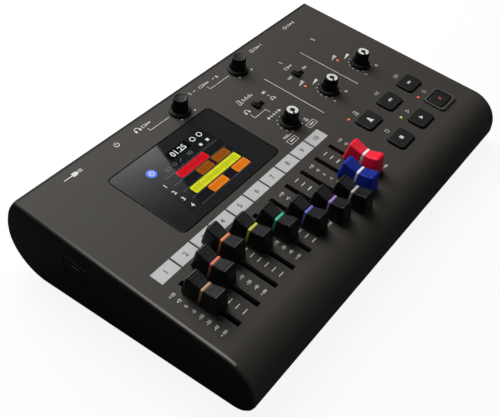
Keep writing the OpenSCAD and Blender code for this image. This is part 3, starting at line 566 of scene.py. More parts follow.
# case, rear and base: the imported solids, shaded as the mouldings that they are
smoothParts = dict(
    top_case=("caseGrey", "housing", "case_grey"),
    bottom_case=("baseBlack", "housing", "base_black"),
    rear_panel=("baseBlack", "housing", "base_black"),
    jack_sockets=("socketBlack", "housing", "socket_black"),
    input_sockets=("socketBlack", "housing", "socket_black"),
    jack_nuts=("nutMetal", "housing", "nut_metal"),
    supply_socket=("steel", "housing", "steel"),
    feet=("footRubber", "housing", "foot_rubber"),
    screws=("steel", "housing", "steel"),
    battery_door=("baseBlack", "battery_door", "base_black"),
    card_door=("cheekBlack", "card_door", "case_grey"),
)
skins = {node: smoothNode(node, *values) for node, values in smoothParts.items()}

# the case darkens over its rolled side edges into the black cheeks, (|x| - start) / roll, a
# painted shade, and on its rounded rear, a painted shade where the faces turn away from the light
shell = dict(halfWidth=127.0, roll=2.4, rearward=0.3, rearShadeShare=0.7, highlightFrom=0.05, highlightTo=0.3,
             highlightRise=0.88, lipRise=0.9)
caseMesh = skins["top_case"].data
normals = readRows(caseMesh.polygons, "normal")
corners = readRows(caseMesh.loops, "vertex_index", 1, np.int32)[:, 0]
faceSizes = readRows(caseMesh.polygons, "loop_total", 1, np.int32)[:, 0]
rollStart = shell["halfWidth"] - shell["roll"]
sideways = np.abs(readRows(caseMesh.vertices, "co")[corners, 0]) / mm
rearShade = np.repeat(normals[:, 1] > shell["rearward"], faceSizes) * shell["rearShadeShare"]
caseShade = np.maximum(np.clip((sideways - rollStart) / shell["roll"], 0, 1), rearShade)
caseMesh.attributes.new("tint", "FLOAT", "CORNER").data.foreach_set(
    "value", caseShade.astype(np.float32))

# painted highlight: the first facet of the roll on the left is painted pale grey, darker towards
# the rear
onLeft = readRows(caseMesh.polygons, "center")[:, 0] / mm < -rollStart
rolled = (-normals[:, 0] > shell["highlightFrom"]) & (-normals[:, 0] < shell["highlightTo"])
finishFaces(skins["top_case"], "edgeHighlight", onLeft & rolled & (normals[:, 2] > shell["highlightRise"]))

# painted highlight: the upper lip of the card door and the lower lip of its nail slot are painted
# pale
outOfPanel = readRows(skins["card_door"].data.polygons, "normal") @ (0.0, -sinSlope, cosSlope)
finishFaces(skins["card_door"], "lipHighlight", outOfPanel > shell["lipRise"])

# parts inside the case keep their solids
insideParts = dict(
    lcd_module="displayDark", panel_board="boardGreen", main_board="boardGreen",
    fader_bodies="slotDarkAndShade", pot_bodies="steel", slide_switch_bodies="slotDarkAndShade",
    key_switches="switchBlack", card_socket="steel", battery_contacts="steel",
    power_switch_tab="switchBlack",
)
for node, finish in insideParts.items():
    nodes[node].data.materials.clear()
    nodes[node].data.materials.append(finishes[finish])
print("case parts dressed:", len(smoothParts) + len(insideParts))


# fader caps: sizes at the foot and over the upper edges, crest, lip and dish, rounding, waist and
# groove
cap = dict(footLength=21.6, footWidth=9.0, topLength=18.4, topWidth=7.7, lift=1.2, height=11.7,
           crest=8.0, lip=0.6, dish=2.0, curve=1.3, corner=1.6, edge=0.75, blend=0.8, step=0.05,
           waist=1.05, waistLength=3.2, groove=1.8, grooveDepth=0.35, flatInsets=(1.1, 1.6, 2.4),
           sharp=30.0)
rib = dict(count=7, start=1.4, end=7.2, height=0.34, redHeight=0.1, sideFrom=0.25, sideRun=0.3,
           nearHighlight=0.4)
insert = dict(width=1.4, round=0.7, proud=0.05, sideProud=0.1, bevel=0.1, bevelDepth=0.12,
              shade=0.3)
lever = dict(size=(1.2, 3.6, 0.3), low=-6.0, intoCap=0.5)
capLooks = [("capBlack", "cap_black")] * 8 + [("capBlue", "cap_blue"), ("capRed", "cap_red")]
insertColours = [
    ("stripe_brown", (190, 146, 108)), ("stripe_coral", (236, 112, 92)),
    ("stripe_orange", (236, 138, 66)), ("stripe_yellow", (216, 214, 62)),
    ("stripe_turquoise", (70, 196, 166)), ("stripe_violet", (112, 120, 214)),
    ("stripe_lilac", (178, 142, 212)), ("stripe_grey", (196, 198, 200)),
    ("stripe_white", (254, 254, 255)), ("stripe_white", (254, 254, 255)),
]


# half width of a cap at a height: the sides lean in at an even rate from the foot to the crests,
# and draw in further about the valley as waist x exp(-(y / length) ** 2), growing with the height
def capHalf(z, y=0.0):
    rise = (z - cap["lift"]) / (cap["height"] - cap["lift"])
    plain = cap["footWidth"] / 2 + (cap["topWidth"] - cap["footWidth"]) / 2 * rise
    return plain - cap["waist"] * rise * np.exp(-(y / cap["waistLength"]) ** 2)


# rear half of a cap's side outline, (up the slope, out): leaning end, lip, crest and a wing that
# falls to the groove as share ** curve; it is stepped evenly along its length and averaged over a
# short stretch, which rounds its corners
def capOutline():
    half = cap["groove"] / 2
    y = np.linspace(cap["crest"], half, 40)
    share = (y - half) / (cap["crest"] - half)
    wing = np.stack([y, cap["height"] - cap["dish"] + cap["dish"] * share ** cap["curve"]], -1)
    ends = [[cap["footLength"] / 2, cap["lift"]],
            [cap["topLength"] / 2, cap["height"] - cap["lip"]]]
    path = np.concatenate([ends, wing])
    run = np.concatenate([[0], np.cumsum(np.linalg.norm(np.diff(path, axis=0), axis=1))])
    even = np.arange(0, run[-1], cap["step"])
    points = np.stack([np.interp(even, run, path[:, i]) for i in (0, 1)], -1)
    count = int(cap["blend"] / cap["step"]) | 1
    weights = np.hanning(count + 2)[1:-1]
    weights /= weights.sum()
    lead = np.arange(count // 2, 0, -1)[:, None]
    before = points[0] - lead * (points[1] - points[0])
    after = points[-1] + lead[::-1] * (points[-1] - points[-2])
    padded = np.concatenate([before, points, after])
    smooth = np.stack([np.convolve(padded[:, i], weights, "valid") for i in (0, 1)], -1)
    # the straight end needs only every twelfth point
    straight = (smooth[:, 1] < cap["height"] - 2.0) & (smooth[:, 0] > cap["crest"])
    return np.concatenate([[ends[0]], smooth[~straight | (np.arange(len(smooth)) % 12 == 0)]])


# how far a quarter circle has fallen at a distance in from its end:
# r - sqrt(r ** 2 - (r - inset) ** 2)
def roundDrop(radius, inset):
    short = np.clip(radius - inset, 0, None)
    return radius - np.sqrt(np.clip(radius ** 2 - short ** 2, 0, None))


# a cap is its outline carried across: x follows the leaning sides, each side edge rounds off by a
# quarter circle, the ends draw in by another at the corners, and ribs stand on the wings as
# z + height x clipped cosine(y), their crests painted pale as a highlight
def addCap(k, x0, y0):
    turn = np.radians(np.linspace(90, 0, 8))
    inset = np.concatenate([[0.0], cap["edge"] * (1 - np.sin(turn)), cap["flatInsets"]])
    side = np.repeat([-1.0, 1.0], len(inset))[:, None]
    inset = np.concatenate([inset, inset[::-1]])[:, None]
    floor = cap["height"] - cap["dish"] - cap["grooveDepth"]
    rear = np.concatenate([capOutline(), [[cap["groove"] / 2, floor]]])
    outline = np.concatenate([rear, rear[::-1] * (-1, 1)])
    way, y, z = np.sign(outline[None, :, 0]), np.abs(outline[None, :, 0]), outline[None, :, 1]

    turns = rib["count"] * (y - rib["start"]) / (rib["end"] - rib["start"])
    onWing = np.clip(np.minimum(turns, rib["count"] - turns) * 4, 0, 1) * (z > floor + 0.2)
    ribs = np.clip(0.25 - 0.95 * np.cos(2 * np.pi * turns), 0, 1) * onWing
    ribs = ribs * np.clip((inset - rib["sideFrom"]) / rib["sideRun"], 0, 1)
    ribHeight = rib["redHeight"] if k == 10 else rib["height"]
    drop = roundDrop(cap["edge"], inset) * np.clip((z - cap["lift"]) / 2, 0, 1)
    level = np.maximum(z + ribHeight * ribs - drop, cap["lift"])
    reach = np.interp(level, [cap["lift"], cap["height"] - cap["lip"]],
                      [cap["footLength"] / 2, cap["topLength"] / 2])
    level[[0, -1]] = cap["lift"]
    y = way * np.minimum(y, reach - roundDrop(cap["corner"], inset))
    x = side * (capHalf(level, y) - inset)

    finish, slot = capLooks[k - 1]
    rings = np.stack([x + x0, y + y0, level], -1)
    piece = addLoft("faderCap%d" % k, rings, finish, "fader_%d" % k, slot, closed=False,
                    stands=["fader_cap_%d" % k], sharp=cap["sharp"])
    # painted highlight: the rib crests take the pale edge tone, fainter on the near wing
    fainter = np.where(way > 0, 1.0, rib["nearHighlight"])
    addTint(piece, np.broadcast_to(np.clip(ribs * 4 - 3, 0, 1) * fainter, rings.shape[:2]))
    evenShade(piece)


# insert: an arch over the groove and down both sides, its upper corners rounded, with painted shade
# that darkens it to its foot
def addInsert(k, x0, y0):
    slot, colour = insertColours[k - 1]
    r, foot = insert["round"], cap["lift"] + insert["proud"]
    top = cap["height"] - cap["dish"] + insert["proud"]
    half, footHalf = capHalf(top - r) + insert["sideProud"], capHalf(foot) + insert["sideProud"]
    t = np.radians(np.linspace(0, 90, 8))
    right = np.stack([half - r + r * np.cos(t), top - r + r * np.sin(t)], -1)
    arch = np.concatenate([[[-footHalf, foot], [footHalf, foot]], right, right[::-1] * (-1, 1)])
    depths = (np.array([1, 1, -1, -1]) * insert["width"] / 2
              - np.array([0, 1, -1, 0]) * insert["bevelDepth"])
    shrink = np.array([1, 0, 0, 1])[:, None] * insert["bevel"]
    rows = np.stack([np.sign(arch[:, 0]) * (np.abs(arch[:, 0]) - shrink) + x0,
                     np.broadcast_to(depths[:, None], (4, len(arch))) + y0,
                     np.maximum(arch[:, 1] - shrink, cap["lift"])], -1)
    name = "insert%d" % k
    finishes[name] = moulded(name, colour, rough=0.4, cells=3600.0, spread=0.12, bump=0.03,
                             edge=tuple(int(c * insert["shade"]) for c in colour))
    piece = addLoft("faderInsert%d" % k, rows, name, "fader_%d" % k, slot,
                    stands=["fader_stripe_%d" % k])
    addTint(piece, np.tile(np.clip((top - r - arch[:, 1]) / (top - r - foot), 0, 1), 4))


# lever: a flat post that comes up through the slot into the cap
def addLever(k, x0, y0):
    levels = (lever["low"], cap["lift"] + lever["intoCap"])
    post = roundedStack((x0, y0), [lever["size"]] * 2, levels, 4)
    addLoft("faderLever%d" % k, post, "slotDarkAndShade", "fader_%d" % k, capLooks[k - 1][1])


for k in range(1, 11):
    x0, y0, _ = panelMiddle("fader_cap_%d" % k)
    addCap(k, x0, y0)
    addInsert(k, x0, y0)
    addLever(k, x0, y0)
print("fader caps made")


# knobs: skirt and grip radii, levels, flutes; the ring inlay on the small knobs; the shaft
knob = dict(skirt=6.4, low=0.5, rim=2.25, rimAt=5.5, trough=1.5, grip=4.55, top=3.95, height=9.6,
            rimHalf=0.1, dish=0.5, ringedDish=0.05, flutes=18, fluteSteps=14, fluteDepth=0.3,
            sharp=40.0)
inlay = dict(outer=3.3, inner=1.55, gap=14.0, turn=232.0, sunk=0.002)
shaft = dict(radius=2.5, low=-6.0, high=0.6)


# side outline of a knob as (radius, level): dished skirt with a thin rim, leaning grip, crown
def knobOutline(dish):
    s, m, g, top = knob["skirt"], knob["rimAt"], knob["grip"], knob["top"]
    low, rim, trough, h = knob["low"], knob["rim"], knob["trough"], knob["height"]
    skirt = [[2.6, low], [s - 0.25, low], [s, low + 0.25], [s, 1.3], [s - 0.1, 1.5],
             [s - 0.35, 1.6], [m + 0.16, 1.6], [m + 0.14, rim - 0.16], [m + 0.08, rim - 0.03],
             [m - 0.08, rim - 0.03], [m - 0.14, rim - 0.16], [m - 0.2, trough],
             [g + 0.2, trough], [g + 0.05, trough]]
    grip = [[g, trough + 0.3], [g - 0.03, 2.6], [g - 0.06, 3.1], [(g + top) / 2 + 0.05, 5.8],
            [top + 0.12, h - 1.4], [top + 0.04, h - 0.55], [top - 0.06, h - 0.25],
            [top - 0.28, h - 0.06], [top - 0.5, h]]
    crown = [[top - 0.75, h - 0.1 * dish], [top - 0.95, h - 0.4 * dish],
             [top - 1.25, h - 0.75 * dish], [top - 1.75, h - 0.93 * dish], [0.4, h - dish]]
    return np.array(skirt + grip + crown), len(skirt) + len(grip)


# a turned outline whose radius dips in the flutes:
# r(angle, level) = outline - depth x lobe(angle) x band(level)
def addKnob(name, ringed):
    node = "knob_" + name
    joint = next(j for j in frame["joints"] if j["child"] == node)
    x0, y0, _ = fromFrame(joint["pos_m"])
    outline, crownFrom = knobOutline(knob["ringedDish"] if ringed else knob["dish"])
    angle = np.linspace(0, 2 * np.pi, knob["flutes"] * knob["fluteSteps"], endpoint=False)
    lobe = np.clip(np.cos(knob["flutes"] * angle) * 0.5 + 0.5, 0, 1) ** 2.5
    level = outline[:, 1]
    band = np.clip((level - 2.5) / 0.6, 0, 1) * np.clip((knob["height"] - 0.1 - level) / 0.5, 0, 1)
    radius = outline[:, 0, None] - knob["fluteDepth"] * lobe[None, :] * band[:, None]
    rings = turnedStack(x0, y0, radius, level, angle)
    piece = addLoft("knobGrip_" + name, rings, "knobBlack", node, "control_black",
                    stands=[node], sharp=knob["sharp"])
    finishRows(piece, "knobTop", len(angle), range(crownFrom - 1, len(outline)))
    # painted highlight: a thin pale line on the top of the skirt's rim
    addTint(piece, np.repeat(np.abs(outline[:, 0] - knob["rimAt"]) < knob["rimHalf"], len(angle)))
    if ringed:
        ring = ringPart(x0, y0, inlay["inner"], inlay["outer"], inlay["turn"] + inlay["gap"],
                        inlay["turn"] + 360 - inlay["gap"])
        addFlats("knobRing_" + name, [ring], knob["height"] - inlay["sunk"], "printInk",
                 "control_black", node)
    size = (2 * shaft["radius"], 2 * shaft["radius"], shaft["radius"])
    post = roundedStack((x0, y0), [size] * 2, (shaft["low"], shaft["high"]), 10)
    addLoft("knobShaft_" + name, post, "steel", node, "control_black")


ringedKnobs = ("balance", "gain_1", "gain_2")
for name in ("phones", "output") + ringedKnobs:
    addKnob(name, name in ringedKnobs)
print("knobs made")


# keys: a soft pillow on straight sides; each symbol is a flat print that moves with its key
key = dict(width=14.9, depth=10.8, radius=2.2, foot=-3.0, height=1.2, round=0.45, steps=8,
           recordShare=0.88, flatInsets=(1.4, 2.0), tighten=0.6, leastRadius=0.5, rimHighlight=0.4,
           gap=0.2, shadowBand=0.4, printRise=0.012, sharp=50.0)
keySymbols = dict(
    click=[shape((-1.3, -1.5), (1.3, -1.5), (0.55, 1.6), (-0.55, 1.6)),
           rect(-1.7, -2.1, 1.7, -1.5)],
    rewind=[shape((0.1, -1.1), (0.1, 1.1), (-1.7, 0)), shape((1.9, -1.1), (1.9, 1.1), (0.1, 0))],
    forward=[shape((-0.1, 1.1), (-0.1, -1.1), (1.7, 0)),
             shape((-1.9, 1.1), (-1.9, -1.1), (-0.1, 0))],
    stop=[rect(-1.15, -1.15, 1.15, 1.15)],
    play=[shape((-1.2, 1.5), (-1.2, -1.5), (1.6, 0))],
    record=[disc(0, 0, 1.15)],
)


# rings of a rounded rectangle, drawn in along a quarter circle at the top, with a painted highlight
# on the rim of sin(2 x angle) ** 2 and painted shade on the straight sides
def addKey(name, symbol):
    node = "key_" + name
    x0, y0, _ = panelMiddle(node)
    inset, level = roundOver(key["round"], key["foot"], key["height"], key["steps"])
    inset = np.concatenate([inset, key["flatInsets"]])
    level = np.concatenate([level, [key["height"]] * len(key["flatInsets"])])
    share = key["recordShare"] if name == "record" else 1.0
    sizes = [(key["width"] * share - 2 * i, key["depth"] * share - 2 * i,
              max(key["radius"] - key["tighten"] * i, key["leastRadius"])) for i in inset]
    rings = roundedStack((x0, y0), sizes, level)
    columns = rings.shape[1]
    piece = addLoft("keyTop_" + name, rings, "keyRubber", node, "key_rubber",
                    stands=[node], sharp=key["sharp"])
    # painted shade: the straight sides take the near black
    finishRows(piece, "slotDarkAndShade", columns, [0])
    t = np.radians(np.linspace(0, 90, key["steps"]))
    rim = np.concatenate([[0.0], key["rimHighlight"] * np.sin(2 * t) ** 2,
                          [0.0] * len(key["flatInsets"])])
    addTint(piece, np.repeat(rim, columns))
    finish = "symbolRed" if name == "record" else "printInk"
    addFlats("keySymbol_" + name, shifted(symbol, x0, y0), key["height"] + key["printRise"],
             finish, "key_rubber", node)


# the outline of a key grown on all sides and set off towards the front left by the same growth,
# less the gap, for the painted shadow round the keys
def gapShadowRing(middle, grow):
    size = (key["width"] + 2 * grow, key["depth"] + 2 * grow, key["radius"] + grow)
    return roundedRing(*size) + middle + key["gap"] - grow


for name, symbol in keySymbols.items():
    addKey(name, symbol)

# painted shadow: a dark band along the near and left edges of the other keys' holes, where the
# gap's shade falls
gapShadows = []
for name in keySymbols:
    if name != "record":
        middle = panelMiddle("key_" + name)[:2]
        inner, outer = (gapShadowRing(middle, grow) for grow in (key["gap"], key["gap"] + key["shadowBand"]))
        count = len(inner)
        i, k = np.arange(count), (np.arange(count) + 1) % count
        faces = np.stack([i, i + count, k + count, k], -1).tolist()
        gapShadows.append((np.concatenate([inner, outer]), faces))
addFlats("keyGapShadows", gapShadows, key["printRise"], "slotDarkAndShade", "case_grey")

# raised frame round the record key: (growth over the key, corner radius, level, tint), with a
# painted highlight along both upper edges
recordFrame = [(1.68, 2.83, -0.3, 0), (1.68, 2.83, 0.7, 0.3), (1.6, 2.75, 1.0, 1),
               (1.4, 2.6, 1.13, 0.7), (1.15, 2.6, 1.13, 0), (0.7, 2.5, 1.13, 0),
               (0.45, 2.5, 1.13, 0.7), (0.24, 2.5, 1.02, 1), (0.13, 2.5, 0.75, 0),
               (0.13, 2.5, -1.0, 0)]
grow, radii, levels, tints = zip(*recordFrame)
sizes = [(key["width"] + 2 * g, key["depth"] + 2 * g, r) for g, r in zip(grow, radii)]
rings = roundedStack(panelMiddle("key_record")[:2], sizes, levels)
piece = addLoft("recordFrame", rings, "frameGrey", "housing", "case_grey", closed=False,
                sharp=60.0)
addTint(piece, np.repeat(tints, rings.shape[1]))
# painted shade on the frame's outer and inner walls
finishRows(piece, "slotDarkAndShade", rings.shape[1], [0, len(recordFrame) - 2])


# switch tabs: a block with two grooves, its outline across carried along the slope, and a thumb
# plate
tab = dict(width=3.2, depth=2.6, top=1.8, low=-5.2, edge=0.15, grooves=(0.95, 0.75, 0.45, 0.25),
           grooveDepth=0.35, plateLow=0.4, plateTop=1.3, plateFront=0.7, plateRear=2.6,
           plateEdge=0.25, plateRadius=0.5)


def addTab(node):
    x0, y0, _ = panelMiddle(node)
    half, top, sunk = tab["width"] / 2, tab["top"], tab["top"] - tab["grooveDepth"]
    right = np.array([(half, tab["low"]), (half, top - tab["edge"]), (half - tab["edge"], top)]
                     + list(zip(tab["grooves"], (top, sunk, sunk, top))))
    outline = np.concatenate([right, right[::-1] * (-1, 1)])
    shift = (tab["plateRear"] - tab["plateFront"]) / 2
    rows = [np.full(len(outline), y0 - shift + side * tab["depth"] / 2) for side in (1, -1)]
    rings = np.stack([np.column_stack([outline[:, 0] + x0, y, outline[:, 1]]) for y in rows])
    addLoft(node + "Grip", rings, "switchBlack", node, "control_black", stands=[node],
            sharp=25.0)

    # thumb plate: rounded rectangles, the upper ones drawn in along a quarter circle
    depth = tab["depth"] + tab["plateFront"] + tab["plateRear"]
    inset, level = roundOver(tab["plateEdge"], tab["plateLow"], tab["plateTop"], 5)
    sizes = [(tab["width"] - 2 * i, depth - 2 * i, tab["plateRadius"]) for i in inset]
    addLoft(node + "Plate", roundedStack((x0, y0), sizes, level, 4), "switchBlack", node,
            "control_black", sharp=50.0)


for node in ("input_switch_tab", "monitor_switch_tab"):
    addTab(node)

# lamps: domed lenses over their light pipes, (node beside the lamp, offset, finish), brightest in
# the middle
lamp = dict(radius=1.0, rise=0.3, low=-2.0, bright=1.15, fall=1.5, fromKey=(-7.7, 9.0),
            fromRecord=(-7.7, 10.5), fromGain=(-7.2, 12.0))
lampPlaces = dict(
    click=("key_click", "fromKey", "lampRed"), play=("key_play", "fromKey", "lampGreen"),
    record=("key_record", "fromRecord", "lampRed"), peak_1=("knob_gain_1", "fromGain", "lampRed"),
    peak_2=("knob_gain_2", "fromGain", "lampRed"),
)
t = np.radians(np.linspace(0, 80, 7))
domeShare = np.concatenate([[1.0], np.cos(t)])
domeLevel = np.concatenate([[lamp["low"]], np.sin(t) * lamp["rise"]])
angle = np.linspace(0, 2 * np.pi, 32, endpoint=False)
for name, (beside, offset, finish) in lampPlaces.items():
    x, y = panelMiddle(beside)[:2] + lamp[offset]
    dome = turnedStack(x, y, domeShare[:, None] * lamp["radius"], domeLevel, angle)
    lens = addLoft("lampLens_" + name, dome, finish, "housing", "lamp_red",
                   stands=["lamp_lenses"])
    glowTint = np.clip(lamp["bright"] - domeShare * lamp["fall"], 0, 1)
    addTint(lens, np.repeat(glowTint, len(angle)))
print("keys, switches and lamps made")

# window: a flat pane with a fine rounded edge
pane = dict(radius=3.0, edge=0.25, shrink=0.5)
windowLow, windowHigh = panelBox("display_window")
windowMiddle = (windowLow + windowHigh) / 2
width, depth, _ = windowHigh - windowLow - pane["shrink"]
inset, level = roundOver(pane["edge"], windowLow[2], windowHigh[2], 5)
sizes = [(width - 2 * i, depth - 2 * i, pane["radius"] - i) for i in inset]
evenShade(addLoft("windowPane", roundedStack(windowMiddle[:2], sizes, level), "windowTint",
                  "housing", "window_tint", stands=["display_window"], sharp=20.0))

# picture: four lanes of pills with level bars, a dial and rows of plain marks, about the picture's
# middle
picture = dict(shift=(-1.2, -0.9), level=0.012, halfWidth=25.0, halfDepth=18.5, lanePitch=6.0,
               laneHeight=5.1, firstLane=2.8, laneGlow=0.3, deep=0.72, pillRadius=0.9,
               barPitch=0.9, barHalf=0.17)
pictureColours = dict(
    pictureBack=((24, 26, 27), 0.15), pictureBlack=((6, 6, 6), 0.1),
    pictureWhite=((206, 210, 210), 0.3), pictureGrey=((92, 98, 100), 0.3),
    pictureBlue=((72, 108, 228), 0.4),
)
lanes = dict(
    pictureRed=((206, 22, 34), [(-11.0, 11.5)]),
    pictureBrown=((146, 78, 14), [(-2.0, 8.5), (10.5, 22.0)]),
    pictureYellow=((206, 210, 34), [(-14.0, 23.0)]),
    pictureOrange=((226, 122, 26), [(-7.0, 5.5), (12.5, 23.5)]),
)
for name, (colour, glow) in pictureColours.items():
    finishes[name] = litPixels(name, colour, glow)


# shapes about the picture's middle, on thin layers over the pane
def addPicture(name, shapes, layer, finish):
    placed = shifted(shapes, *(windowMiddle[:2] + picture["shift"]))
    addFlats(name, placed, picture["level"] * layer, finish, "display_dark")


halfWidth, halfDepth = picture["halfWidth"], picture["halfDepth"]
addPicture("pictureBack", [rect(-halfWidth, -halfDepth, halfWidth, halfDepth)], 1, "pictureBack")
addPicture("pictureBand", [rect(-5.0, 12.4, 11.0, 18.0)], 1.5, "pictureBlack")

# the height of a lane's bars is h x (0.35 + 0.5 x |sine x cosine|) along it
laneRows = picture["firstLane"] - np.arange(len(lanes)) * picture["lanePitch"]
for lane, (name, (colour, spans)) in enumerate(lanes.items()):
    finishes[name] = litPixels(name, colour, picture["laneGlow"])
    deepColour = tuple(int(c * picture["deep"]) for c in colour)
    finishes[name + "Deep"] = litPixels(name + "Deep", deepColour, picture["laneGlow"])
    y, h = laneRows[lane], picture["laneHeight"] / 2
    pills, bars = [], []
    for a, b in spans:
        pills.append(shape(*(roundedRing(b - a, 2 * h, picture["pillRadius"], 5)
                             + ((a + b) / 2, y))))
        x = np.arange(a + 1.0, b - 0.9, picture["barPitch"])
        tall = h * (0.35 + 0.5 * np.abs(np.sin(x * 1.7 + lane) * np.cos(x * 0.43 + 2 * lane)))
        bars += [rect(u - picture["barHalf"], y - v, u + picture["barHalf"], y + v)
                 for u, v in zip(x, tall)]
    addPicture(name, pills, 2, name)
    addPicture(name + "Bars", bars, 3, name + "Deep")

dialX, dialY = -19.6, 13.6
addPicture("pictureDial", [disc(dialX, dialY, 2.9)], 2, "pictureBlue")
white = [ringPart(dialX, dialY, 1.1, 1.6), rect(dialX - 0.25, dialY, dialX + 0.25, dialY + 1.8)]
white += [figures(str(lane + 1), -21.5, y, 3.6) for lane, y in enumerate(laneRows)]
white += [figures("01.25", 3.0, 15.2, 5.0), ringPart(15.0, 15.4, 1.2, 1.75),
          ringPart(20.5, 15.4, 1.2, 1.75)]
white += [disc(15.0, 9.6, 1.0), rect(19.6, 8.7, 21.4, 10.5)]
addPicture("pictureMarks", white, 4, "pictureWhite")
ruled = picture["firstLane"] + (0.5 - np.arange(len(lanes) + 1)) * picture["lanePitch"]
grey = [lineRun([(-17.8, y), (24.0, y)], 0.22) for y in ruled]
grey += [rect(u - 0.1, 6.2, u + 0.1, 7.2) for u in np.arange(-17, 24, 2.0)]
grey += [boxLine(-12.5, 8.6, -9.9, 10.6, 0.4), ringPart(-6.0, 9.6, 0.8, 1.2),
         lineRun([(-2.6, 8.8), (-0.4, 10.4)], 0.4)]
grey += [rect(u, 8.4, u + 0.5, 10.8) for u in (4.4, 5.7, 7.0)]
addPicture("pictureLines", grey, 1.5, "pictureGrey")
print("display made")

# prints on the panel: tiles with plain numbers, fader scales, leader lines, dots and small signs
prints = dict(level=0.02, tileLow=21.9, tileHigh=29.5, tileWidth=12.9, tileSize=4.2, tileBold=0.022,
              scaleSize=2.3, dash=1.7, dashHeight=0.45, zeroHeight=0.7, firstShift=-1.2,
              lastShift=0.9, line=0.4, leader=0.3, dotsAt=7.1, dotsFrom=-49.0, dotsTo=229.5,
              dots=11, rearRow=99.2)
scale = {"+10": 14.85, "+5": 10.75, "0": 6.55, "-5": 2.2, "-10": -1.95, "-20": -6.2, "-40": -10.4,
         None: -14.65}
faderX = [panelMiddle("fader_cap_%d" % k)[0] for k in range(1, 11)]
pitch = (faderX[-1] - faderX[0]) / (len(faderX) - 1)
tileHalf, tileMiddle = prints["tileWidth"] / 2, (prints["tileLow"] + prints["tileHigh"]) / 2
tiles = [rect(x - tileHalf, prints["tileLow"], x + tileHalf, prints["tileHigh"]) for x in faderX]
tileFigures = [figures(str(k + 1), x, tileMiddle, prints["tileSize"], prints["tileBold"])
               for k, x in enumerate(faderX)]
addFlats("trackTiles", tiles, prints["level"], "tilePaint", "case_grey")
addFlats("trackFigures", tileFigures, prints["level"] * 1.6, "tileInk", "case_grey")

# between the faders, dashes and figures take turns; the last figure is a minus sign before two
# rings
marks = []
for column in range(len(faderX) + 1):
    x = (faderX[0] + (column - 0.5) * pitch
         + {0: prints["firstShift"], 10: prints["lastShift"]}.get(column, 0.0))
    for word, y in scale.items():
        if column % 2:
            high = prints["zeroHeight" if word == "0" else "dashHeight"] / 2
            marks.append(rect(x - prints["dash"], y - high, x + prints["dash"], y + high))
        elif word:
            marks.append(figures(word, x, y, prints["scaleSize"]))
        else:
            marks += [ringPart(x + u, y, 0.32, 0.66, count=20) for u in (0.35, 1.45)]
            marks.append(rect(x - 1.9, y - 0.2, x - 0.8, y + 0.2))

# dividing lines, leader lines to the jacks and round the monitor switch
thin, rear = prints["leader"], prints["rearRow"]
dividers = [[(38.9, 76.7), (38.9, 34.3)], [(76.9, 76.5), (76.9, 34.1)]]
leaders = [[(-42.1, 96.4), (-42.1, 94.4), (-27.3, 94.3)], [(8.5, 95.9), (8.5, 93.8), (26.0, 93.8)],
           [(6.9, 63.5), (6.7, 60.0), (16.9, 60.2), (17.0, 56.9)]]
marks += ([lineRun(points, prints["line"]) for points in dividers]
          + [lineRun(points, thin) for points in leaders])


# small signs, each about its own middle: jack plug, headphones, pendulum box, loudspeaker, round
# socket
def plugSign(reach):
    return [boxLine(-reach, -0.75, -0.1 * reach, 0.75, thin),
            boxLine(0, -0.4, 0.7 * reach, 0.4, thin), disc(0.9 * reach, 0, 0.45, 16)]


def phonesSign(r):
    cups = [rect((side - 0.36) * r, -0.75 * r, (side + 0.36) * r, 0.1 * r)
            for side in (-0.85, 0.85)]
    return [ringPart(0, 0, 0.8 * r, 1.05 * r, 0, 180)] + cups


def pendulumSign(size):
    box = np.array([(-0.5, -0.6), (0.5, -0.6), (0.2, 0.6), (-0.2, 0.6), (-0.5, -0.6)]) * size
    return [lineRun(box, thin), lineRun(np.array([(0, -0.4), (0.45, 0.55)]) * size, thin)]


def speakerSign(size):
    horn = np.array([(-0.45, -0.4), (0.15, -0.9), (0.15, 0.9), (-0.45, 0.4)]) * size
    waves = [ringPart(0, 0, r * size, (r + 0.2) * size, -50, 50, 16) for r in (0.6, 1.0)]
    return [rect(-size, -0.4 * size, -0.45 * size, 0.4 * size), shape(*horn)] + waves


def socketSign(r):
    pins = [disc(0.45 * r * u, 0.45 * r * v, 0.2 * r, 12)
            for u, v in ((0, 1), (-0.87, -0.5), (0.87, -0.5))]
    return [ringPart(0, 0, 0.82 * r, r)] + pins


# dots at the ends of the turn of the rear knobs, and round the others from one end of the turn to
# the other; beside a gain knob also its end figures, a rising wedge for level, and bars that rise
# to the lamp
for name in ("phones", "output"):
    x, y, _ = panelMiddle("knob_" + name)
    marks += shifted([disc(u, -5.4, 0.55, 16) for u in (-4.6, 6.8)], x, y)
turn = np.radians(np.linspace(prints["dotsFrom"], prints["dotsTo"], prints["dots"]))
dots = [disc(u, v, 0.36, 12)
        for u, v in zip(prints["dotsAt"] * np.cos(turn), prints["dotsAt"] * np.sin(turn))]
gainSigns = [figures("0", -6.0, -8.1, 2.3), figures("10", 6.7, -8.1, 2.3),
             shape((-3.0, 9.9), (3.4, 9.9), (3.4, 11.9))]
gainSigns += [rect(-9.6 + 1.15 * i, 14.6, -8.95 + 1.15 * i, 15.2 + 0.5 * i) for i in range(5)]
for name in ringedKnobs:
    x, y, _ = panelMiddle("knob_" + name)
    marks += shifted(dots if name == "balance" else dots + gainSigns, x, y)

# balance: a ruled line between two arrow heads, and two small fields with a sign over each
marks += [shape((10.6, 54.2), (12.4, 55.4), (12.4, 53.0)),
          shape((23.2, 54.2), (21.4, 53.0), (21.4, 55.4)),
          lineRun([(12.6, 54.2), (21.2, 54.2)], thin)]
marks += [lineRun([(u, 53.2), (u, 55.2)], thin) for u in (14.4, 16.9, 19.4)]
for x in (7.2, 26.3):
    marks += [boxLine(x - 4.1, 32.6, x + 3.3, 35.9, 0.32), rect(x - 2.6, 33.9, x + 1.8, 34.6)]
marks += [rect(4.0, 37.6, 10.4, 38.0), rect(4.0, 38.5, 8.2, 38.9)]

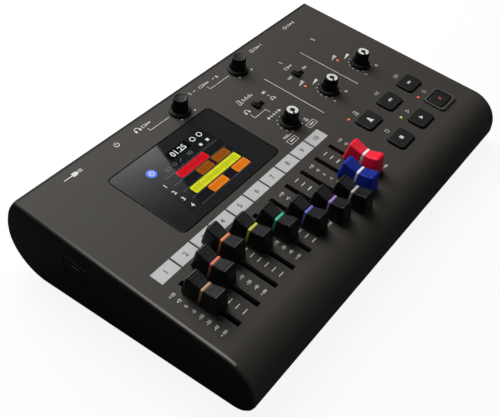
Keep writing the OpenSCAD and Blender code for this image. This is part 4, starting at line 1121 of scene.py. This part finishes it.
# a row of bars over the monitor switch, and a plus between its two signs on the right
marks += [rect(13.6 + 1.5 * i, 72.9, 14.2 + 1.5 * i, 75.4 - 1.1 * (i % 2)) for i in range(6)]
marks += [rect(27.6, 66.3, 28.8, 66.6), rect(28.05, 65.85, 28.35, 67.05)]

# signs beside the keys, drawn in outline
marks += [lineRun([(u, 22.0), (u + 1.5, 20.9), (u, 19.8)], thin) for u in (99.4, 101.4)]
marks += [lineRun([(u, 22.1), (u - 1.5, 21.0), (u, 19.9)], thin) for u in (77.0, 79.0)]
marks += [ringPart(100.6, 0.7, 0.95, 1.25), boxLine(50.8, -1.9, 53.0, 0.3, thin)]
marks.append(lineRun([(75.6, 0.4), (75.6, -2.0), (77.7, -0.8), (75.6, 0.4)], thin))

# supply plug and power sign on the rear row, and the dashes between left and right
supplySign = [rect(-5.6, -0.25, 0, 0.25),
              shape((0, -1.3), (2.8, -1.3), (4.0, 0), (2.8, 1.3), (0, 1.3)),
              rect(4.0, -0.85, 6.4, -0.35), rect(4.0, 0.35, 6.4, 0.85)]
powerSign = [ringPart(0, 0, 1.25, 1.65, 125, 415), rect(-0.2, 0, 0.2, 2.0)]
marks += [rect(-0.6, rear - 0.35, 1.2, rear + 0.05), rect(16.0, rear - 0.8, 17.8, rear - 0.4)]

# where each sign and figure stands: by the balance knob, the switches and the keys, then along the
# rear row
signPlaces = [
    (pendulumSign(2.0), 26.3, 38.6), (plugSign(3.4), 58.8, 73.6), (pendulumSign(3.0), 10.6, 74.3),
    (phonesSign(1.7), 7.4, 66.2), (speakerSign(1.3), 28.2, 69.9), (phonesSign(1.5), 28.2, 63.1),
    (pendulumSign(2.6), 52.0, 20.7), (supplySign, -94.4, rear), (powerSign, -63.0, rear),
    (phonesSign(1.8), -47.0, rear), (plugSign(3.2), -40.4, rear), (plugSign(4.2), 8.6, rear - 0.4),
]
figurePlaces = [
    ("1", 58.9, 79.3, 3.6), ("2", 94.5, 79.1, 3.6), ("OFF", 51.0, 66.7, 2.3),
    ("ON", 65.9, 66.5, 2.3), ("L", -3.1, rear, 2.8), ("R", 20.2, rear - 0.8, 2.8),
]
for number, x in (("1", 55.6), ("2", 91.4)):
    signPlaces += [(socketSign(1.5), x, rear - 0.2), (plugSign(2.4), x + 5.2, rear - 0.2)]
    figurePlaces.append((number, x + 9.4, rear - 0.2, 2.7))
for sign, x, y in signPlaces:
    marks += shifted(sign, x, y)
marks += [figures(*values) for values in figurePlaces]
addFlats("panelPrints", marks, prints["level"], "printInk", "case_grey")
print("prints made")

# camera: place in metres, directions of the picture's right and bottom, lens for a 36 mm wide film
view = dict(place=(-0.27521, -0.17680, 0.29531), right=(0.59454, -0.80374, 0.02277),
            down=(-0.53868, -0.41918, -0.73083), lens=54.44, film=36.0, nearest=0.01)
cameraData = bpy.data.cameras.new("camera")
cameraData.sensor_fit = "HORIZONTAL"
cameraData.sensor_width = view["film"]
cameraData.lens = view["lens"]
cameraData.clip_start = view["nearest"]
camera = bpy.data.objects.new("camera", cameraData)
right, down = np.array(view["right"]), np.array(view["down"])
stand = np.eye(4)
stand[:3] = np.column_stack([right, -down, -np.cross(right, down), view["place"]])
camera.matrix_world = Matrix(stand.tolist())
scene.collection.objects.link(camera)
scene.camera = camera

# studio: white sweep seen by the camera and a dim room; the floor's tone for other light, its tone
# and share of white for the camera
studio = dict(room=0.03, sweep=1.0, glossShare=0.03, floorTone=0.1, floorPale=0.95, floorShade=0.9,
              floorHalf=4.0)


# 1 where the camera or glass looks at a surface, a share of it where a shine does
def seenMask(tree):
    path = tree.nodes.new("ShaderNodeLightPath")
    straight = mathNode(tree, "MAXIMUM", path.outputs["Is Camera Ray"],
                        path.outputs["Is Transmission Ray"])
    shine = mathNode(tree, "MULTIPLY", path.outputs["Is Glossy Ray"], studio["glossShare"])
    return mathNode(tree, "MAXIMUM", straight, shine)


def mixShaders(tree, share, first, second):
    pick = tree.nodes.new("ShaderNodeMixShader")
    for socket, value in zip(pick.inputs, (share, first, second)):
        feed(tree, socket, value)
    return pick.outputs[0]


def newShader(tree, kind, **values):
    node = tree.nodes.new(kind)
    feedAll(tree, node, **values)
    return node.outputs[0]


world = bpy.data.worlds.new("room")
scene.world = world
world.use_nodes = True
tree = world.node_tree
tree.nodes.clear()
dim, bright = (newShader(tree, "ShaderNodeBackground", Color=(1, 1, 1, 1), Strength=studio[name])
               for name in ("room", "sweep"))
feedAll(tree, tree.nodes.new("ShaderNodeOutputWorld"),
        Surface=mixShaders(tree, seenMask(tree), dim, bright))

# floor: pale and matt; the camera sees it as a share of the sweep's white over a paler tone that
# keeps the shadow
reach = studio["floorHalf"]
floorMesh = bpy.data.meshes.new("floor")
floorMesh.from_pydata([(-reach, -reach, 0), (reach, -reach, 0), (reach, reach, 0),
                       (-reach, reach, 0)], [], [(0, 1, 2, 3)])
floor = bpy.data.objects.new("floor", floorMesh)
scene.collection.objects.link(floor)
floorFinish = bpy.data.materials.new("floorPale")
floorFinish.use_nodes = True
tree = floorFinish.node_tree
tree.nodes.remove(tree.nodes["Principled BSDF"])
matt, pale = (newShader(tree, "ShaderNodeBsdfDiffuse", Color=(studio[name],) * 3 + (1,))
              for name in ("floorTone", "floorPale"))
glow = newShader(tree, "ShaderNodeEmission", Strength=studio["sweep"])
seen = mixShaders(tree, studio["floorShade"], pale, glow)
feedAll(tree, tree.nodes["Material Output"], Surface=mixShaders(tree, seenMask(tree), matt, seen))
floorMesh.materials.append(floorFinish)


# a rectangular lamp that shines down, tipped by a lean in degrees: its middle, its way of depth in
# plan, its sizes
def addLamp(name, place, way, width, depth, power, lean=0.0):
    data = bpy.data.lights.new(name, "AREA")
    data.shape = "RECTANGLE"
    data.size, data.size_y, data.energy = width, depth, power
    lampObject = bpy.data.objects.new(name, data)
    flat, rise = math.cos(math.radians(lean)), math.sin(math.radians(lean))
    across, along = (way[1], -way[0], 0), (way[0] * flat, way[1] * flat, rise)
    stand = np.eye(4)
    stand[:3] = np.column_stack([across, along, np.cross(across, along), place])
    lampObject.matrix_world = Matrix(stand.tolist())
    scene.collection.objects.link(lampObject)


# the soft card behind on the right fades towards its front edge in bands of even depth, measured
# from its front corner, by share ** curve; the power of a band is pi x area x glow x share
card = dict(corner=(0.346, 0.236), way=(0.286, 0.958), height=0.6, width=0.6, glow=6.9,
            fadeFrom=-0.05, fadeTo=0.13, fadeCurve=1.8, fadeStart=0.7, steps=24, far=0.55)
way = np.array(card["way"])
sideEdge = np.array(card["corner"]) + np.array([-way[1], way[0]]) * card["width"] / 2
edges = np.linspace(card["fadeFrom"], card["fadeTo"], card["steps"] + 1)
shares = ((np.arange(card["steps"]) + card["fadeStart"])
          / (card["steps"] + card["fadeStart"])) ** card["fadeCurve"]
bands = list(zip(edges[:-1], edges[1:], shares)) + [(card["fadeTo"], card["far"], 1.0)]
for number, (near, far, share) in enumerate(bands):
    power = math.pi * card["width"] * (far - near) * card["glow"] * share
    addLamp("softCard%d" % (number + 1), (*(sideEdge + way * (near + far) / 2), card["height"]),
            way, card["width"], far - near, power)

# the other lamps: one overhead, two fills
lamps = dict(
    overhead=dict(place=(0.10, 0.26, 0.70), way=(0, 1), width=0.4, depth=0.4, power=3.2),
    frontFill=dict(place=(-0.36, -0.38, 0.34), way=(0.651, 0.759), width=0.25, depth=0.25,
                   power=0.3, lean=58.0),
    rearFill=dict(place=(0.30, 1.00, 0.45), way=(-0.29, -0.957), width=0.6, depth=0.4, power=2.0,
                  lean=65.0),
)
for name, values in lamps.items():
    addLamp(name, **values)
print("studio ready")
